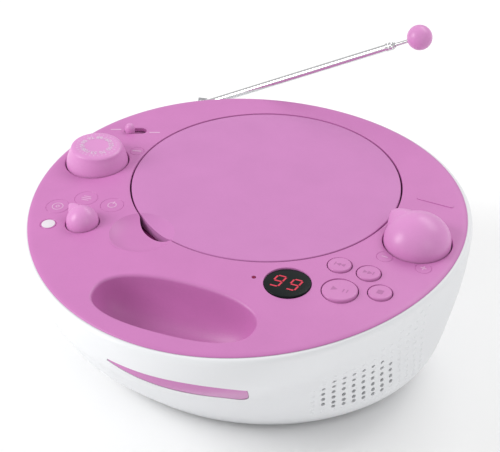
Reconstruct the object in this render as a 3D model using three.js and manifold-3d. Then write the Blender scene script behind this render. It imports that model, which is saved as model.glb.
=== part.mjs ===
// Portable CD player with radio: a three-lobed bowl with a flat control deck, a round disc lid,
// a grip cup at the front and a telescopic aerial at the back. Millimetres, +Z up.

import * as THREE from 'three';
import { mergeVertices } from 'three/addons/utils/BufferGeometryUtils.js';
import Module from 'manifold-3d';

const wasm = await Module();
wasm.setup();

// ---- Driving dimensions ---------------------------------------------------------------------

const CENTRE_SHIFT = -12.2; // puts the whole object's middle over the origin
const BASE = 2.7; // underside of the casing, above the feet
const RIM = 111; // height of the deck's edge at mid depth
const TILT = 0.035; // rise of the rim towards the back, per millimetre
const GAP = 0.3; // clearance between pieces that touch
const SEAM = 0.5; // half of the gap around the disc lid

// Casing cross-sections at even steps of height: mean radius, set-back of the middle,
// ovalness and three-fold lobing
const SECTIONS = [
  { radius: 99.4, setBack: 13.6, oval: 0.105, lobes: 0.025 },
  { radius: 124.8, setBack: 13.6, oval: 0.048, lobes: -0.01 },
  { radius: 134.7, setBack: 10.6, oval: 0.022, lobes: 0.028 },
  { radius: 145, setBack: 3.2, oval: -0.019, lobes: 0.042 },
  { radius: 149.2, setBack: 0, oval: -0.002, lobes: 0.017 },
];
const PANEL_RADIUS = 145;
const WALL = 2.5;

const LID = { y: 37, z: 114.3, radius: 90.6, skin: 2.4, skirt: 104 };
const HINGE = { y: 136, z: 110.5, arm: 14, armWidth: 5, pin: 1, eye: 1.8 };
const DIMPLE = { x: -52.3, y: -48.8, radius: 22, depth: 4.5 };
const NOTCH = { radius: 30, reach: 4.2 };
const SCOOP = { y: -109, halfLength: 56, halfWidth: 25, depth: 34, power: 2.4 };

const DIAL = { x: -117.5, y: 19.5, radius: 21, height: 12.6 };
const FUNCTION = { x: -93.5, y: -50, radius: 10.7, height: 12, beak: 17, heading: 150 };
const VOLUME = { x: 115.8, y: 15.2, radius: 22, height: 20, beak: 27.4, heading: 149 };
const BAND = { x: -110, y: 63.6, length: 15.4, width: 7.6, heading: 21, stud: 3.5, rise: 6 };
const DISPLAY = { x: 56.7, y: -60.6, radius: 15.5 };
const LED = { x: 35.1, y: -64, radius: 1.3 };
const BUTTONS = [
  { name: 'previous_button', x: 80, y: -30.3, radius: 7.7 },
  { name: 'next_button', x: 99.7, y: -29.8, radius: 7.7 },
  { name: 'play_pause_button', x: 89.5, y: -53.7, radius: 11.5 },
  { name: 'stop_button', x: 113.1, y: -44.4, radius: 7.7 },
];
const BUTTON_RISE = 1;

const AERIAL = { x: -93, y: 136, z: 98.9, turn: 12, rise: 25.3, collar: 151, ball: 171, ballRadius: 8.9 };

const SPINDLE = { x: 0, y: LID.y };
const WELL_FLOOR = 99.6;
const SLED = { x: 24, width: 24, depth: 52, z: 92, rod: 1.5, rodOffset: 22, screwOffset: 32 };
const BATTERY = { y: 25, length: 156, width: 60, height: 33, wall: 2 };
const SPEAKER = { angle: -34, height: 50, radius: 33 };

// ---- Finishes -------------------------------------------------------------------------------

const finish = (color, roughness, metalness = 0) => ({ color, roughness, metalness });
const PINK = finish(0xcf8fc1, 0.45);
const DEEP_PINK = finish(0xb5529a, 0.5);
const WHITE = finish(0xe2e3e6, 0.25);
const BLACK = finish(0x202226, 0.35);
const DARK_GREY = finish(0x4a4c50, 0.6);
const CHROME = finish(0xd8d8d8, 0.12, 1);
const STEEL = finish(0xb0b2b5, 0.35, 1);
const BOARD = finish(0x2f6b3c, 0.55);
const RUBBER = finish(0x2a2a2c, 0.9);

// ---- Geometry helpers -----------------------------------------------------------------------

const radians = THREE.MathUtils.degToRad;

// A closed mesh with shared corners, no flat triangles and its faces outwards
function closed(geometry) {
  geometry.deleteAttribute('normal');
  geometry.deleteAttribute('uv');
  const merged = mergeVertices(geometry, 1e-3);
  const corners = merged.getIndex().array;
  const kept = [];
  for (let i = 0; i < corners.length; i += 3) {
    const [a, b, c] = corners.slice(i, i + 3);
    if (a !== b && b !== c && c !== a) {
      kept.push(a, b, c);
    }
  }
  const position = merged.getAttribute('position');
  const [p, q, r] = [new THREE.Vector3(), new THREE.Vector3(), new THREE.Vector3()];
  let volume = 0;
  for (let i = 0; i < kept.length; i += 3) {
    p.fromBufferAttribute(position, kept[i]);
    q.fromBufferAttribute(position, kept[i + 1]);
    r.fromBufferAttribute(position, kept[i + 2]);
    volume += p.dot(q.cross(r));
  }
  merged.setIndex(volume < 0 ? kept.reverse() : kept);
  return merged;
}

function solid(geometry) {
  const mesh = closed(geometry);
  return new wasm.Manifold(new wasm.Mesh({
    numProp: 3,
    vertProperties: new Float32Array(mesh.getAttribute('position').array),
    triVerts: new Uint32Array(mesh.getIndex().array),
  }));
}

function surface(body) {
  const mesh = body.getMesh();
  const geometry = new THREE.BufferGeometry();
  geometry.setAttribute('position', new THREE.BufferAttribute(mesh.vertProperties.slice(), 3));
  geometry.setIndex(new THREE.BufferAttribute(mesh.triVerts.slice(), 1));
  return geometry;
}

// A turned piece about the Z axis from [radius, height] points
function turned(points, segments = 18) {
  const profile = points.map(([radius, height]) => new THREE.Vector2(radius, height));
  return closed(new THREE.LatheGeometry(profile, segments).rotateX(Math.PI / 2));
}

function turnedRing(points, segments = 18) {
  return turned([...points, points[0]], segments);
}

function rod(radius, bottom, top, segments = 16) {
  return turned([[0, bottom], [radius, bottom], [radius, top], [0, top]], segments);
}

function box(low, high) {
  const size = high.map((value, i) => value - low[i]);
  const middle = high.map((value, i) => (value + low[i]) / 2);
  return new THREE.BoxGeometry(...size).translate(...middle);
}

// A flat outline in X and Y, given a thickness from bottom to top
function slab(shape, bottom, top, curveSegments = 10) {
  const depth = top - bottom;
  return new THREE.ExtrudeGeometry(shape, { depth, bevelEnabled: false, curveSegments }).translate(0, 0, bottom);
}

function pill(length, width) {
  const shape = new THREE.Shape();
  const half = (length - width) / 2;
  shape.absarc(half, 0, width / 2, -Math.PI / 2, Math.PI / 2, false);
  shape.absarc(-half, 0, width / 2, Math.PI / 2, 1.5 * Math.PI, false);
  return shape;
}

// A closed sheet or ring: LatheGeometry's grid with every point placed by its angle
function placedRound(profile, segments, place) {
  const guide = profile.map((_, i) => new THREE.Vector2(1, i));
  const geometry = new THREE.LatheGeometry(guide, segments);
  const position = geometry.getAttribute('position');
  for (let i = 0; i <= segments; i += 1) {
    const angle = (2 * Math.PI * (i % segments)) / segments;
    profile.forEach((entry, j) => {
      const point = place(entry, angle);
      position.setXYZ(i * profile.length + j, point.x, point.y, point.z);
    });
  }
  return closed(geometry);
}

// ---- Shape of the casing and the deck ---------------------------------------------------------

const girth = new THREE.CatmullRomCurve3(
  SECTIONS.map((s) => new THREE.Vector3(s.radius, s.setBack, 0)), false, 'catmullrom', 0.5);
const waviness = new THREE.CatmullRomCurve3(
  SECTIONS.map((s) => new THREE.Vector3(s.oval, s.lobes, 0)), false, 'catmullrom', 0.5);

const lobe = (angle) => Math.cos(3 * (angle + Math.PI / 2));

// A point of the casing's outer skin, moved inwards by inset; reach 0 is the middle
function casingPoint({ height, inset = 0, reach = 1 }, angle) {
  const step = THREE.MathUtils.clamp(height / RIM, 0, 1);
  const { x: radius, y: setBack } = girth.getPoint(step);
  const { x: oval, y: lobes } = waviness.getPoint(step);
  const r = reach * (radius * (1 + oval * Math.cos(2 * angle) + lobes * lobe(angle)) - inset);
  const y = setBack + r * Math.sin(angle);
  const lean = (TILT * y * (height - BASE)) / (RIM - BASE);
  return new THREE.Vector3(r * Math.cos(angle), y, height + lean);
}

function rimRadius(angle) {
  return PANEL_RADIUS * (1 + 0.017 * lobe(angle) - 0.002 * Math.cos(2 * angle));
}

// Height of the deck: level with the lid at its edge, falling to the tilted rim
function deckHeight(x, y) {
  const fromLid = Math.max(Math.hypot(x, y - LID.y) - LID.radius, 0);
  const fromRim = Math.max(rimRadius(Math.atan2(y, x)) - Math.hypot(x, y), 0);
  const t = fromLid / (fromLid + fromRim);
  const ease = (t + THREE.MathUtils.smoothstep(t, 0, 1)) / 2;
  return THREE.MathUtils.lerp(LID.z, RIM + TILT * y, ease);
}

// ---- The object -------------------------------------------------------------------------------

const player = new THREE.Group();
player.position.set(0, CENTRE_SHIFT, 0);

function add(name, shape, look, parent = player) {
  const geometry = shape.isBufferGeometry ? closed(shape) : surface(shape);
  const material = new THREE.MeshStandardMaterial({
    color: look.color,
    roughness: look.roughness,
    metalness: look.metalness,
  });
  const mesh = new THREE.Mesh(geometry, material);
  mesh.name = name;
  parent.add(mesh);
  return mesh;
}

// A vertical piece turned about its own axis, standing at (x, y, z)
function stand(name, shape, look, x, y, z, heading = 0) {
  const mesh = add(name, shape, look);
  mesh.position.set(x, y, z);
  mesh.rotation.z = radians(heading);
  return mesh;
}

// ---- Lower casing with its battery opening, inlay recess and rear inlet -------------------------

const LIP = 109.4;
const OUTER_SKIN = [
  { height: BASE, reach: 0 },
  { height: BASE, inset: 3.5 },
  { height: 4.5 },
  { height: 14 },
  { height: 28 },
  { height: 48 },
  { height: 68 },
  { height: 88 },
  { height: 104 },
  { height: 108.6, inset: 1.3 },
  { height: LIP, inset: 3.2 },
];
const INNER_SKIN = [
  { height: LIP, inset: 5.4 },
  { height: 88, inset: 3 },
  { height: 58, inset: 3 },
  { height: 28, inset: 3.8 },
  { height: 11, inset: 5.5 },
  { height: BASE + 3, inset: 10 },
  { height: BASE + 3, reach: 0 },
];
const CASING_SEGMENTS = 60;
const DOOR = { length: BATTERY.length - 6, width: BATTERY.width - 2, gap: 0.4 };

const batteryCutout = solid(box(
  [-DOOR.length / 2 - DOOR.gap, BATTERY.y - DOOR.width / 2 - DOOR.gap, -5],
  [DOOR.length / 2 + DOOR.gap, BATTERY.y + DOOR.width / 2 + DOOR.gap, BASE + 4]));

// Pink crescent let into the front wall; it runs from a point on the left to a round right end
const ACCENT = { left: -100, right: -66, depth: 1.2 };

function accentSolid(grow) {
  const geometry = new THREE.BoxGeometry(1, 1, 1, 14, 4, 1);
  const position = geometry.getAttribute('position');
  for (let i = 0; i < position.count; i += 1) {
    const along = position.getX(i) + 0.5;
    const across = position.getY(i) + 0.5;
    const depth = position.getZ(i) + 0.5;
    const angle = radians(THREE.MathUtils.lerp(ACCENT.left - grow * 0.4, ACCENT.right + grow * 0.4, along));
    const roundEnd = Math.sqrt(Math.max(1 - Math.max((along - 0.86) / 0.14, 0) ** 2, 0.06));
    const width = 1 + 12 * along + 18 * along ** 5;
    const upper = 92.8 - 14 * along ** 1.2 - 13 * along ** 3.5 + width / 2 + grow;
    const point = casingPoint({
      height: upper - (1 - across) * (width * roundEnd + 2 * grow),
      inset: depth > 0.5 ? -0.05 - grow * 3 : ACCENT.depth + grow,
    }, angle);
    position.setXYZ(i, point.x, point.y, point.z);
  }
  return closed(geometry);
}

const INLET = { x: 62, z: 44, width: 22, height: 13, depth: 16, y: 118 };
const inletCutout = solid(box(
  [INLET.x - INLET.width / 2 - GAP, 70, INLET.z - INLET.height / 2 - GAP],
  [INLET.x + INLET.width / 2 + GAP, 160, INLET.z + INLET.height / 2 + GAP]));
const JACK = { x: 32, z: 44, radius: 5 };
const jackCutout = solid(rod(JACK.radius + GAP, 60, 170).rotateX(-Math.PI / 2).translate(JACK.x, 0, JACK.z));

const lowerShell = solid(placedRound([...OUTER_SKIN, ...INNER_SKIN], CASING_SEGMENTS, casingPoint))
  .subtract(batteryCutout)
  .subtract(solid(accentSolid(0.25)))
  .subtract(inletCutout)
  .subtract(jackCutout);
add('lower_shell', lowerShell, WHITE);
add('front_accent', accentSolid(0), PINK);

// The whole casing as one block, used to trim what is fixed to its outside
const casingBlock = solid(placedRound(
  [...OUTER_SKIN.map((entry) => ({ ...entry, inset: (entry.inset ?? 0) - GAP })), { height: LIP, reach: 0 }],
  CASING_SEGMENTS, casingPoint));

// ---- Top panel: deck ring, grip cup, finger dimple and all control openings ---------------------

const DECK_RINGS = [
  { across: 0, drop: 0 },
  { across: 0.5, drop: 0 },
  { across: 1, inset: 4, drop: 0 },
  { across: 1, inset: 0.9, drop: 0.4 },
  { across: 1, inset: 0, drop: 1.25 },
  { across: 1, inset: 6.4, drop: 1.25 },
  { across: 1, inset: 7.4, drop: WALL },
  { across: 0, drop: WALL },
  { across: 0, drop: 0 },
];

function deckPoint({ across, drop, inset = 0 }, angle) {
  const inner = new THREE.Vector2(Math.cos(angle), Math.sin(angle)).multiplyScalar(LID.radius + SEAM);
  inner.y += LID.y;
  const outer = new THREE.Vector2(Math.cos(angle), Math.sin(angle)).multiplyScalar(rimRadius(angle) - inset);
  const { x, y } = inner.lerp(outer, across);
  return new THREE.Vector3(x, y, deckHeight(x, y) - drop);
}

// Grip cup: superellipse rings from the mouth down to a rounded floor
const CUP_WALL_RINGS = [
  { reach: 1, depth: 0 },
  { reach: 0.93, depth: 0.5 },
  { reach: 0.72, depth: 0.88 },
  { reach: 0, depth: 1 },
];
const CUP_RINGS = [{ reach: 0, depth: -4 }, { reach: 1, depth: -4 }, ...CUP_WALL_RINGS];

function cupPoint({ reach, depth }, angle, thickness, lift) {
  const [c, s] = [Math.cos(angle), Math.sin(angle)];
  const size = (Math.abs(c) ** SCOOP.power + Math.abs(s) ** SCOOP.power) ** (-1 / SCOOP.power);
  const x = reach * size * c * (SCOOP.halfLength + thickness);
  const y = SCOOP.y + reach * size * s * (SCOOP.halfWidth + thickness);
  const top = deckHeight(x, y);
  const below = Math.max(depth, 0) * (SCOOP.depth + thickness) + Math.min(depth, 0) * lift;
  return new THREE.Vector3(x, y, depth > 0 ? deckHeight(0, SCOOP.y) - below : top - below);
}

const cupHollow = solid(placedRound(CUP_RINGS, 32, (ring, angle) => cupPoint(ring, angle, 0, 1)));
const cupOuter = solid(placedRound([{ reach: 0, depth: 0 }, ...CUP_WALL_RINGS], 32, (ring, angle) => {
  const point = cupPoint(ring, angle, WALL, 0);
  point.z = Math.min(point.z, deckHeight(point.x, point.y) - 1.2);
  return point;
}));

const dimpleHeight = deckHeight(DIMPLE.x, DIMPLE.y);
const dimpleCurve = (radius) => (DIMPLE.depth * (radius ** 2)) / DIMPLE.radius ** 2 - DIMPLE.depth;
function dimpleBowl(offset, reach, top) {
  const steps = [0, 0.4, 0.75, 1].map((step) => [step * reach, dimpleCurve(step * reach) - offset]);
  return turned([...steps, [reach, top], [0, top]], 28).translate(DIMPLE.x, DIMPLE.y, dimpleHeight);
}
const dimpleHollow = solid(dimpleBowl(0, DIMPLE.radius + 3, 8));
const dimpleBacking = solid(dimpleBowl(2.2, DIMPLE.radius - 1, -1.4));

// Finger notch between lid and panel, on the line from the lid's middle through the dimple
const notchWay = new THREE.Vector2(DIMPLE.x, DIMPLE.y - LID.y).normalize();
const notchHeading = Math.atan2(notchWay.y, notchWay.x);
const notchMiddle = LID.radius + NOTCH.reach - NOTCH.radius;
const notchCylinder = solid(rod(NOTCH.radius, 90, 125, 40)
  .translate(notchWay.x * notchMiddle, LID.y + notchWay.y * notchMiddle, 0));
const lidOpening = solid(rod(LID.radius + SEAM, 90, 125, 60).translate(0, LID.y, 0));

const controlHoles = [
  { ...DIAL, radius: DIAL.radius + 0.7 },
  { ...FUNCTION, radius: FUNCTION.radius + 0.6 },
  { ...VOLUME, radius: VOLUME.radius + 0.7 },
  { ...DISPLAY, radius: DISPLAY.radius + GAP },
  { ...LED, radius: LED.radius + GAP },
  ...BUTTONS.map((button) => ({ ...button, radius: button.radius + 0.5 })),
];

let topPanel = solid(placedRound(DECK_RINGS, 60, deckPoint))
  .add(cupOuter)
  .add(dimpleBacking.subtract(lidOpening))
  .subtract(cupHollow)
  .subtract(dimpleHollow)
  .subtract(notchCylinder);
for (const hole of controlHoles) {
  const segments = hole.radius > 10 ? 24 : 16;
  topPanel = topPanel.subtract(solid(rod(hole.radius, 90, 125, segments).translate(hole.x, hole.y, 0)));
}
const bandSlot = slab(pill(BAND.length, BAND.width), 95, 125, 6)
  .rotateZ(radians(BAND.heading)).translate(BAND.x, BAND.y, 0);
add('top_panel', topPanel.subtract(solid(bandSlot)), PINK);

// ---- Disc lid: skin with skirt, gooseneck hinge arms, inner plate and clamping puck -------------

const lidRadius = LID.radius - SEAM;
const lidSkin = solid(turned([
  [0, LID.z], [lidRadius - 0.6, LID.z], [lidRadius, LID.z - 0.6], [lidRadius, LID.skirt],
  [lidRadius - 2.2, LID.skirt], [lidRadius - 2.2, LID.z - LID.skin], [0, LID.z - LID.skin],
], 60).translate(0, LID.y, 0));

function gooseneck(x) {
  const shape = new THREE.Shape();
  shape.moveTo(HINGE.eye - 0.4, 0);
  shape.absarc(0, 0, HINGE.eye, 0, Math.PI, false);
  shape.lineTo(-HINGE.eye, -11.4);
  shape.lineTo(-10.6, -11.4);
  shape.lineTo(-10.6, 1);
  shape.lineTo(-13.4, 1);
  shape.lineTo(-13.4, -14.4);
  shape.lineTo(HINGE.eye, -14.4);
  shape.closePath();
  const bore = new THREE.Path();
  bore.absarc(0, 0, HINGE.pin + 0.08, 0, 2 * Math.PI, true);
  shape.holes.push(bore);
  return slab(shape, -HINGE.armWidth / 2, HINGE.armWidth / 2)
    .rotateX(Math.PI / 2).rotateZ(Math.PI / 2).translate(x, HINGE.y, HINGE.z);
}

const pastChord = box([lidRadius - 2.1, -30, 90], [lidRadius + 10, 30, 125])
  .rotateZ(notchHeading).translate(0, LID.y, 0);
const lidDisc = solid(rod(lidRadius, 90, 125, 60).translate(0, LID.y, 0));
const cdLid = lidSkin
  .add(dimpleBacking.intersect(lidDisc))
  .subtract(dimpleHollow)
  .subtract(solid(pastChord))
  .add(solid(gooseneck(-HINGE.arm)))
  .add(solid(gooseneck(HINGE.arm)));
add('cd_lid', cdLid, PINK);

// The plate's housing has a lip under the puck's flange, which keeps the puck when the lid is open
stand('lid_inner_plate', turned([
  [0, 111.6], [72, 111.6], [72, 110.2], [18.4, 110.2], [18.4, 106.4], [13, 106.4],
  [13, 107.2], [16.5, 107.2], [16.5, 110.2], [0, 110.2],
], 28), WHITE, SPINDLE.x, SPINDLE.y, 0);
stand('disc_clamper', turned([
  [0, 109.6], [16, 109.6], [16, 107.6], [12.6, 107.6], [12.6, 105.1], [8.4, 105.1],
  [8.4, 106.4], [0, 106.4],
], 24), BLACK, SPINDLE.x, SPINDLE.y, 0);

// Fixed hinge bracket, its pin and the lid's opening spring
const BRACKET_EAR = { inner: 20, outer: 22.4 };
const bracketEars = [-1, 1].map((side) => {
  const shape = new THREE.Shape();
  shape.moveTo(-6, -17);
  shape.lineTo(2, -17);
  shape.absarc(0, 0, 2, 0, Math.PI, false);
  shape.lineTo(-2, -4);
  shape.closePath();
  const bore = new THREE.Path();
  bore.absarc(0, 0, HINGE.pin + GAP, 0, 2 * Math.PI, true);
  shape.holes.push(bore);
  const width = BRACKET_EAR.outer - BRACKET_EAR.inner;
  const middle = (side * (BRACKET_EAR.outer + BRACKET_EAR.inner)) / 2;
  return solid(slab(shape, -width / 2, width / 2)
    .rotateX(Math.PI / 2).rotateZ(Math.PI / 2).translate(middle, HINGE.y, HINGE.z));
});
const bracketBase = solid(box(
  [-BRACKET_EAR.outer, HINGE.y - 10, HINGE.z - 19],
  [BRACKET_EAR.outer, HINGE.y + 2, HINGE.z - 16.5]));
add('hinge_bracket', bracketBase.add(bracketEars[0]).add(bracketEars[1]), STEEL);
const hingePin = add('hinge_pin', rod(HINGE.pin, -25, 25), STEEL);
hingePin.rotation.y = Math.PI / 2;
hingePin.position.set(0, HINGE.y, HINGE.z);

class SpringPath extends THREE.Curve {
  getPoint(t) {
    const turn = 2 * Math.PI * 4 * t;
    return new THREE.Vector3(-8 + 16 * t, HINGE.y + 1.9 * Math.cos(turn), HINGE.z + 1.9 * Math.sin(turn));
  }
}
const springWire = new THREE.Shape().absarc(0, 0, 0.35, 0, 2 * Math.PI, false);
add('lid_spring', new THREE.ExtrudeGeometry(springWire, {
  steps: 36, curveSegments: 2, extrudePath: new SpringPath(), bevelEnabled: false,
}), STEEL);

// ---- Disc well and playing mechanism ------------------------------------------------------------

const wellRing = solid(turnedRing([
  [16, WELL_FLOOR - 2], [64, WELL_FLOOR - 2], [66.5, 101], [95, 101], [95, 102.8],
  [64.5, 102.8], [62.5, WELL_FLOOR], [16, WELL_FLOOR],
], 48).translate(0, LID.y, 0));
const pickupSlot = slab(pill(62, 26), 90, 110).translate(SPINDLE.x + 35, SPINDLE.y, 0);
const hingeGap = box([-24, 112, 90], [24, 150, 112]);
const cupGap = placedRound(CUP_RINGS, 20, (ring, angle) => cupPoint(ring, angle, WALL + 1, 1));
add('disc_well', wellRing
  .subtract(solid(pickupSlot))
  .subtract(solid(hingeGap))
  .subtract(solid(cupGap)), DEEP_PINK);

stand('turntable', turned([
  [0, 105.2], [5.6, 105.2], [7.4, 104.2], [7.4, 103.6], [14, 103.6], [14, 101.9],
  [4, 101.9], [4, 99.6], [1, 99.6], [1, 91], [0, 91],
], 24), DARK_GREY, SPINDLE.x, SPINDLE.y, 0);
stand('spindle_motor', turnedRing([
  [1.3, 88.2], [10.6, 88.2], [10.6, 97], [4, 97], [4, 98.6], [1.3, 98.6],
], 20), STEEL, SPINDLE.x, SPINDLE.y, 0);

const PLATE = { low: -34, high: 84, front: -4, rear: 80, bottom: 85.5, top: 87.9 };
const MOTOR_RADIUS = 5.2;
const rodEnds = [9, 79];
const rodLines = [-SLED.rodOffset, SLED.rodOffset];
const screwY = SPINDLE.y + SLED.screwOffset;
const motorWindow = solid(box([-12, screwY - MOTOR_RADIUS - 1, 80], [6.8, screwY + MOTOR_RADIUS + 1, 90]));
let chassis = solid(box([PLATE.low, PLATE.front, PLATE.bottom], [PLATE.high, PLATE.rear, PLATE.top]))
  .subtract(motorWindow);
for (const x of rodEnds) {
  for (const offset of [...rodLines, SLED.screwOffset]) {
    const y = SPINDLE.y + offset;
    const post = solid(box([x - 1.2, y - 3.4, PLATE.top - 1], [x + 1.2, y + 3.4, SLED.z + 3.4]));
    const bore = solid(rod(SLED.rod + 0.1, -4, 4).rotateY(Math.PI / 2).translate(x, y, SLED.z));
    chassis = chassis.add(post.subtract(bore));
  }
}
add('mechanism_chassis', chassis, DARK_GREY);

['front', 'rear'].forEach((side, i) => {
  const guide = add(`guide_rod_${side}`, rod(SLED.rod, -36.5, 36.5), STEEL);
  guide.rotation.y = Math.PI / 2;
  guide.position.set(44, SPINDLE.y + rodLines[i], SLED.z);
});

const leadScrew = add('lead_screw', turned([
  [0, -39], [1, -39], [1, -36.5], [1.45, -36.5], [1.45, 37.5], [0, 37.5],
], 20), STEEL);
leadScrew.rotation.y = Math.PI / 2;
leadScrew.position.set(44, screwY, SLED.z);
const sledMotor = add('sled_motor', turnedRing([
  [1.3, -14], [MOTOR_RADIUS, -14], [MOTOR_RADIUS, -1], [3, -1], [3, 0], [1.3, 0],
]), STEEL);
sledMotor.rotation.y = Math.PI / 2;
sledMotor.position.set(6.4, screwY, SLED.z);

let sled = solid(box(
  [SLED.x - SLED.width / 2, SPINDLE.y - SLED.depth / 2, SLED.z - 3],
  [SLED.x + SLED.width / 2, SPINDLE.y + SLED.depth / 2, SLED.z + 3]));
sled = sled.add(solid(box([SLED.x - 4, SPINDLE.y + 25, SLED.z - 3], [SLED.x + 4, screwY - 1.8, SLED.z + 2])));
for (const offset of rodLines) {
  const bore = rod(SLED.rod + 0.08, -20, 20).rotateY(Math.PI / 2);
  sled = sled.subtract(solid(bore.translate(SLED.x, SPINDLE.y + offset, SLED.z)));
}
add('pickup_sled', sled, BLACK);
stand('pickup_lens', turned([
  [0, 101.2], [2.4, 101.2], [3.2, 100.4], [6.5, 99.8], [6.5, SLED.z + 3.3], [0, SLED.z + 3.3],
], 24), finish(0x31405e, 0.1), SLED.x, SPINDLE.y, 0);

[[-26, 4], [-26, 72], [76, 20]].forEach(([x, y], i) => {
  stand(`chassis_damper_${i + 1}`, turned([
    [0, -7], [5, -7], [5, -5], [3.6, -4], [3.6, -2.4], [5, -1.6], [5, -GAP], [0, -GAP],
  ], 12), RUBBER, x, y, PLATE.bottom);
});

// ---- Rotary controls and the parts that they turn -----------------------------------------------

const dialHeight = deckHeight(DIAL.x, DIAL.y);
stand('tuning_dial', turned([
  [0, DIAL.height], [14.3, DIAL.height], [16.3, DIAL.height - 0.8], [17.6, DIAL.height - 2],
  [19.4, DIAL.height - 6], [20.5, 3], [DIAL.radius, 0],
  [DIAL.radius, -5], [18.6, -5], [18.6, -2], [4, -2], [4, -9], [0, -9],
], 28), PINK, DIAL.x, DIAL.y, dialHeight);
add('tuning_capacitor', box(
  [DIAL.x - 10, DIAL.y - 10, dialHeight - 22], [DIAL.x + 10, DIAL.y + 10, dialHeight - 9.3]), WHITE);

// A domed knob with a beak that shows where it points
function beakedKnob({ radius, height, beak }, beakHeight, depth) {
  const steps = 5;
  const dome = [];
  for (let i = 0; i <= steps; i += 1) {
    const angle = (Math.PI / 2) * (1 - i / steps);
    dome.push([radius * Math.cos(angle), 1 + (height - 1) * Math.sin(angle)]);
  }
  dome[0][0] = 0;
  const stem = radius * 0.22;
  const body = solid(turned([
    ...dome, [radius, 0], [radius, -depth], [radius - 2.2, -depth], [radius - 2.2, -2], [stem, -2],
    [stem, -depth - 4], [0, -depth - 4],
  ], 24));
  const spout = new THREE.ConeGeometry(radius * 0.42, beak - radius * 0.35, 12)
    .rotateZ(-Math.PI / 2).scale(1, 1, 0.75)
    .translate((beak + radius * 0.35) / 2, 0, beakHeight);
  const aboveDeck = solid(box([0, -radius, 1.2], [beak + 1, radius, height]));
  return body.add(solid(spout).intersect(aboveDeck));
}

const functionHeight = deckHeight(FUNCTION.x, FUNCTION.y);
stand('function_knob', beakedKnob(FUNCTION, 5.5, 4), PINK, FUNCTION.x, FUNCTION.y, functionHeight, FUNCTION.heading);
stand('function_switch', turned([
  [0, -20], [11, -20], [11, -8.5], [0, -8.5],
], 24), DARK_GREY, FUNCTION.x, FUNCTION.y, functionHeight);
const volumeHeight = deckHeight(VOLUME.x, VOLUME.y);
stand('volume_knob', beakedKnob(VOLUME, 8.5, 5), PINK, VOLUME.x, VOLUME.y, volumeHeight, VOLUME.heading);
stand('volume_control', turned([
  [0, -20], [8, -20], [8, -9.5], [0, -9.5],
], 24), STEEL, VOLUME.x, VOLUME.y, volumeHeight);

// Band switch: stud and cover plate in one slide, over the switch body
const bandHeight = deckHeight(BAND.x, BAND.y) - 0.2;
const bandTravel = BAND.length - BAND.width;
const bandStud = solid(turned([
  [0, BAND.rise], [1.8, BAND.rise - 0.3], [3, BAND.rise - 1.4], [BAND.stud, 1.2], [BAND.stud, -0.6],
  [2.6, -1.6], [2.6, -3.4], [0, -3.4],
], 24).translate(-bandTravel / 2, 0, 0));
const bandPlate = solid(slab(pill(24, 11), -4.2, -3));
stand('band_slide', bandStud.add(bandPlate), PINK, BAND.x, BAND.y, bandHeight, BAND.heading);
stand('band_switch', box([-10, -4, -11], [10, 4, -4.6]), STEEL, BAND.x, BAND.y, bandHeight, BAND.heading);

// ---- Playback buttons, display and their board --------------------------------------------------

const BOARD_TOP = 101.4;
for (const { name, x, y, radius } of BUTTONS) {
  const top = deckHeight(x, y) + BUTTON_RISE;
  stand(name, turned([
    [0, top], [radius - 1, top], [radius, top - 1], [radius, top - 6.5], [3, top - 6.5],
    [3, BOARD_TOP + 1.7], [0, BOARD_TOP + 1.7],
  ]), PINK, x, y, 0);
}
const displayHeight = deckHeight(DISPLAY.x, DISPLAY.y);
stand('display_lens', turned([
  [0, 0.1], [14.8, 0], [DISPLAY.radius, -0.4], [DISPLAY.radius, -2.2], [0, -2.2],
], 28), BLACK, DISPLAY.x, DISPLAY.y, displayHeight);
stand('display_module', box([-12, -8.5, BOARD_TOP + GAP - displayHeight], [12, 8.5, -2.6]), BLACK,
  DISPLAY.x, DISPLAY.y, displayHeight);
stand('indicator_led', rod(LED.radius, -6, 0.1, 16), finish(0x9c2440, 0.3),
  LED.x, LED.y, deckHeight(LED.x, LED.y));

const keyOutline = new THREE.Shape();
keyOutline.moveTo(28, -76);
keyOutline.lineTo(92, -76);
keyOutline.lineTo(123, -48);
keyOutline.lineTo(114, -19);
keyOutline.lineTo(60, -19);
keyOutline.lineTo(28, -50);
keyOutline.closePath();
add('key_board', solid(slab(keyOutline, BOARD_TOP - 1.6, BOARD_TOP))
  .subtract(solid(rod(97, 90, 120, 72).translate(0, LID.y, 0)))
  .subtract(solid(cupGap)), BOARD);

// ---- Telescopic aerial: bracket, swivel, three sections and the ball tip ------------------------

const aerialBase = new THREE.Group();
aerialBase.position.set(AERIAL.x, AERIAL.y, AERIAL.z);
aerialBase.rotation.z = radians(AERIAL.turn);
player.add(aerialBase);
const mast = new THREE.Group();
mast.rotation.y = radians(-AERIAL.rise);
aerialBase.add(mast);

const outward = Math.atan2(AERIAL.y, AERIAL.x);
const bracketBlock = solid(box([-34, -9, -19], [8.5, 9, -6.8])
  .rotateZ(outward).translate(AERIAL.x, AERIAL.y, AERIAL.z));
const bracketBore = solid(rod(3.1, -14, 0).translate(AERIAL.x, AERIAL.y, AERIAL.z));
add('aerial_bracket', bracketBlock.subtract(casingBlock).subtract(bracketBore), WHITE);

const swivelBody = solid(rod(6.4, -6.5, -4)).add(solid(rod(3, -12, -6)));
const cheeks = [-1, 1].map((side) => {
  const [near, far] = side > 0 ? [2.3, 4.4] : [-4.4, -2.3];
  return solid(box([-3.4, near, -4.5], [3.4, far, 3.6]));
});
const crossPin = solid(rod(1.2, -4.2, 4.2).rotateX(Math.PI / 2));
add('aerial_swivel', swivelBody.add(cheeks[0]).add(cheeks[1]).add(crossPin), STEEL, aerialBase);

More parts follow.
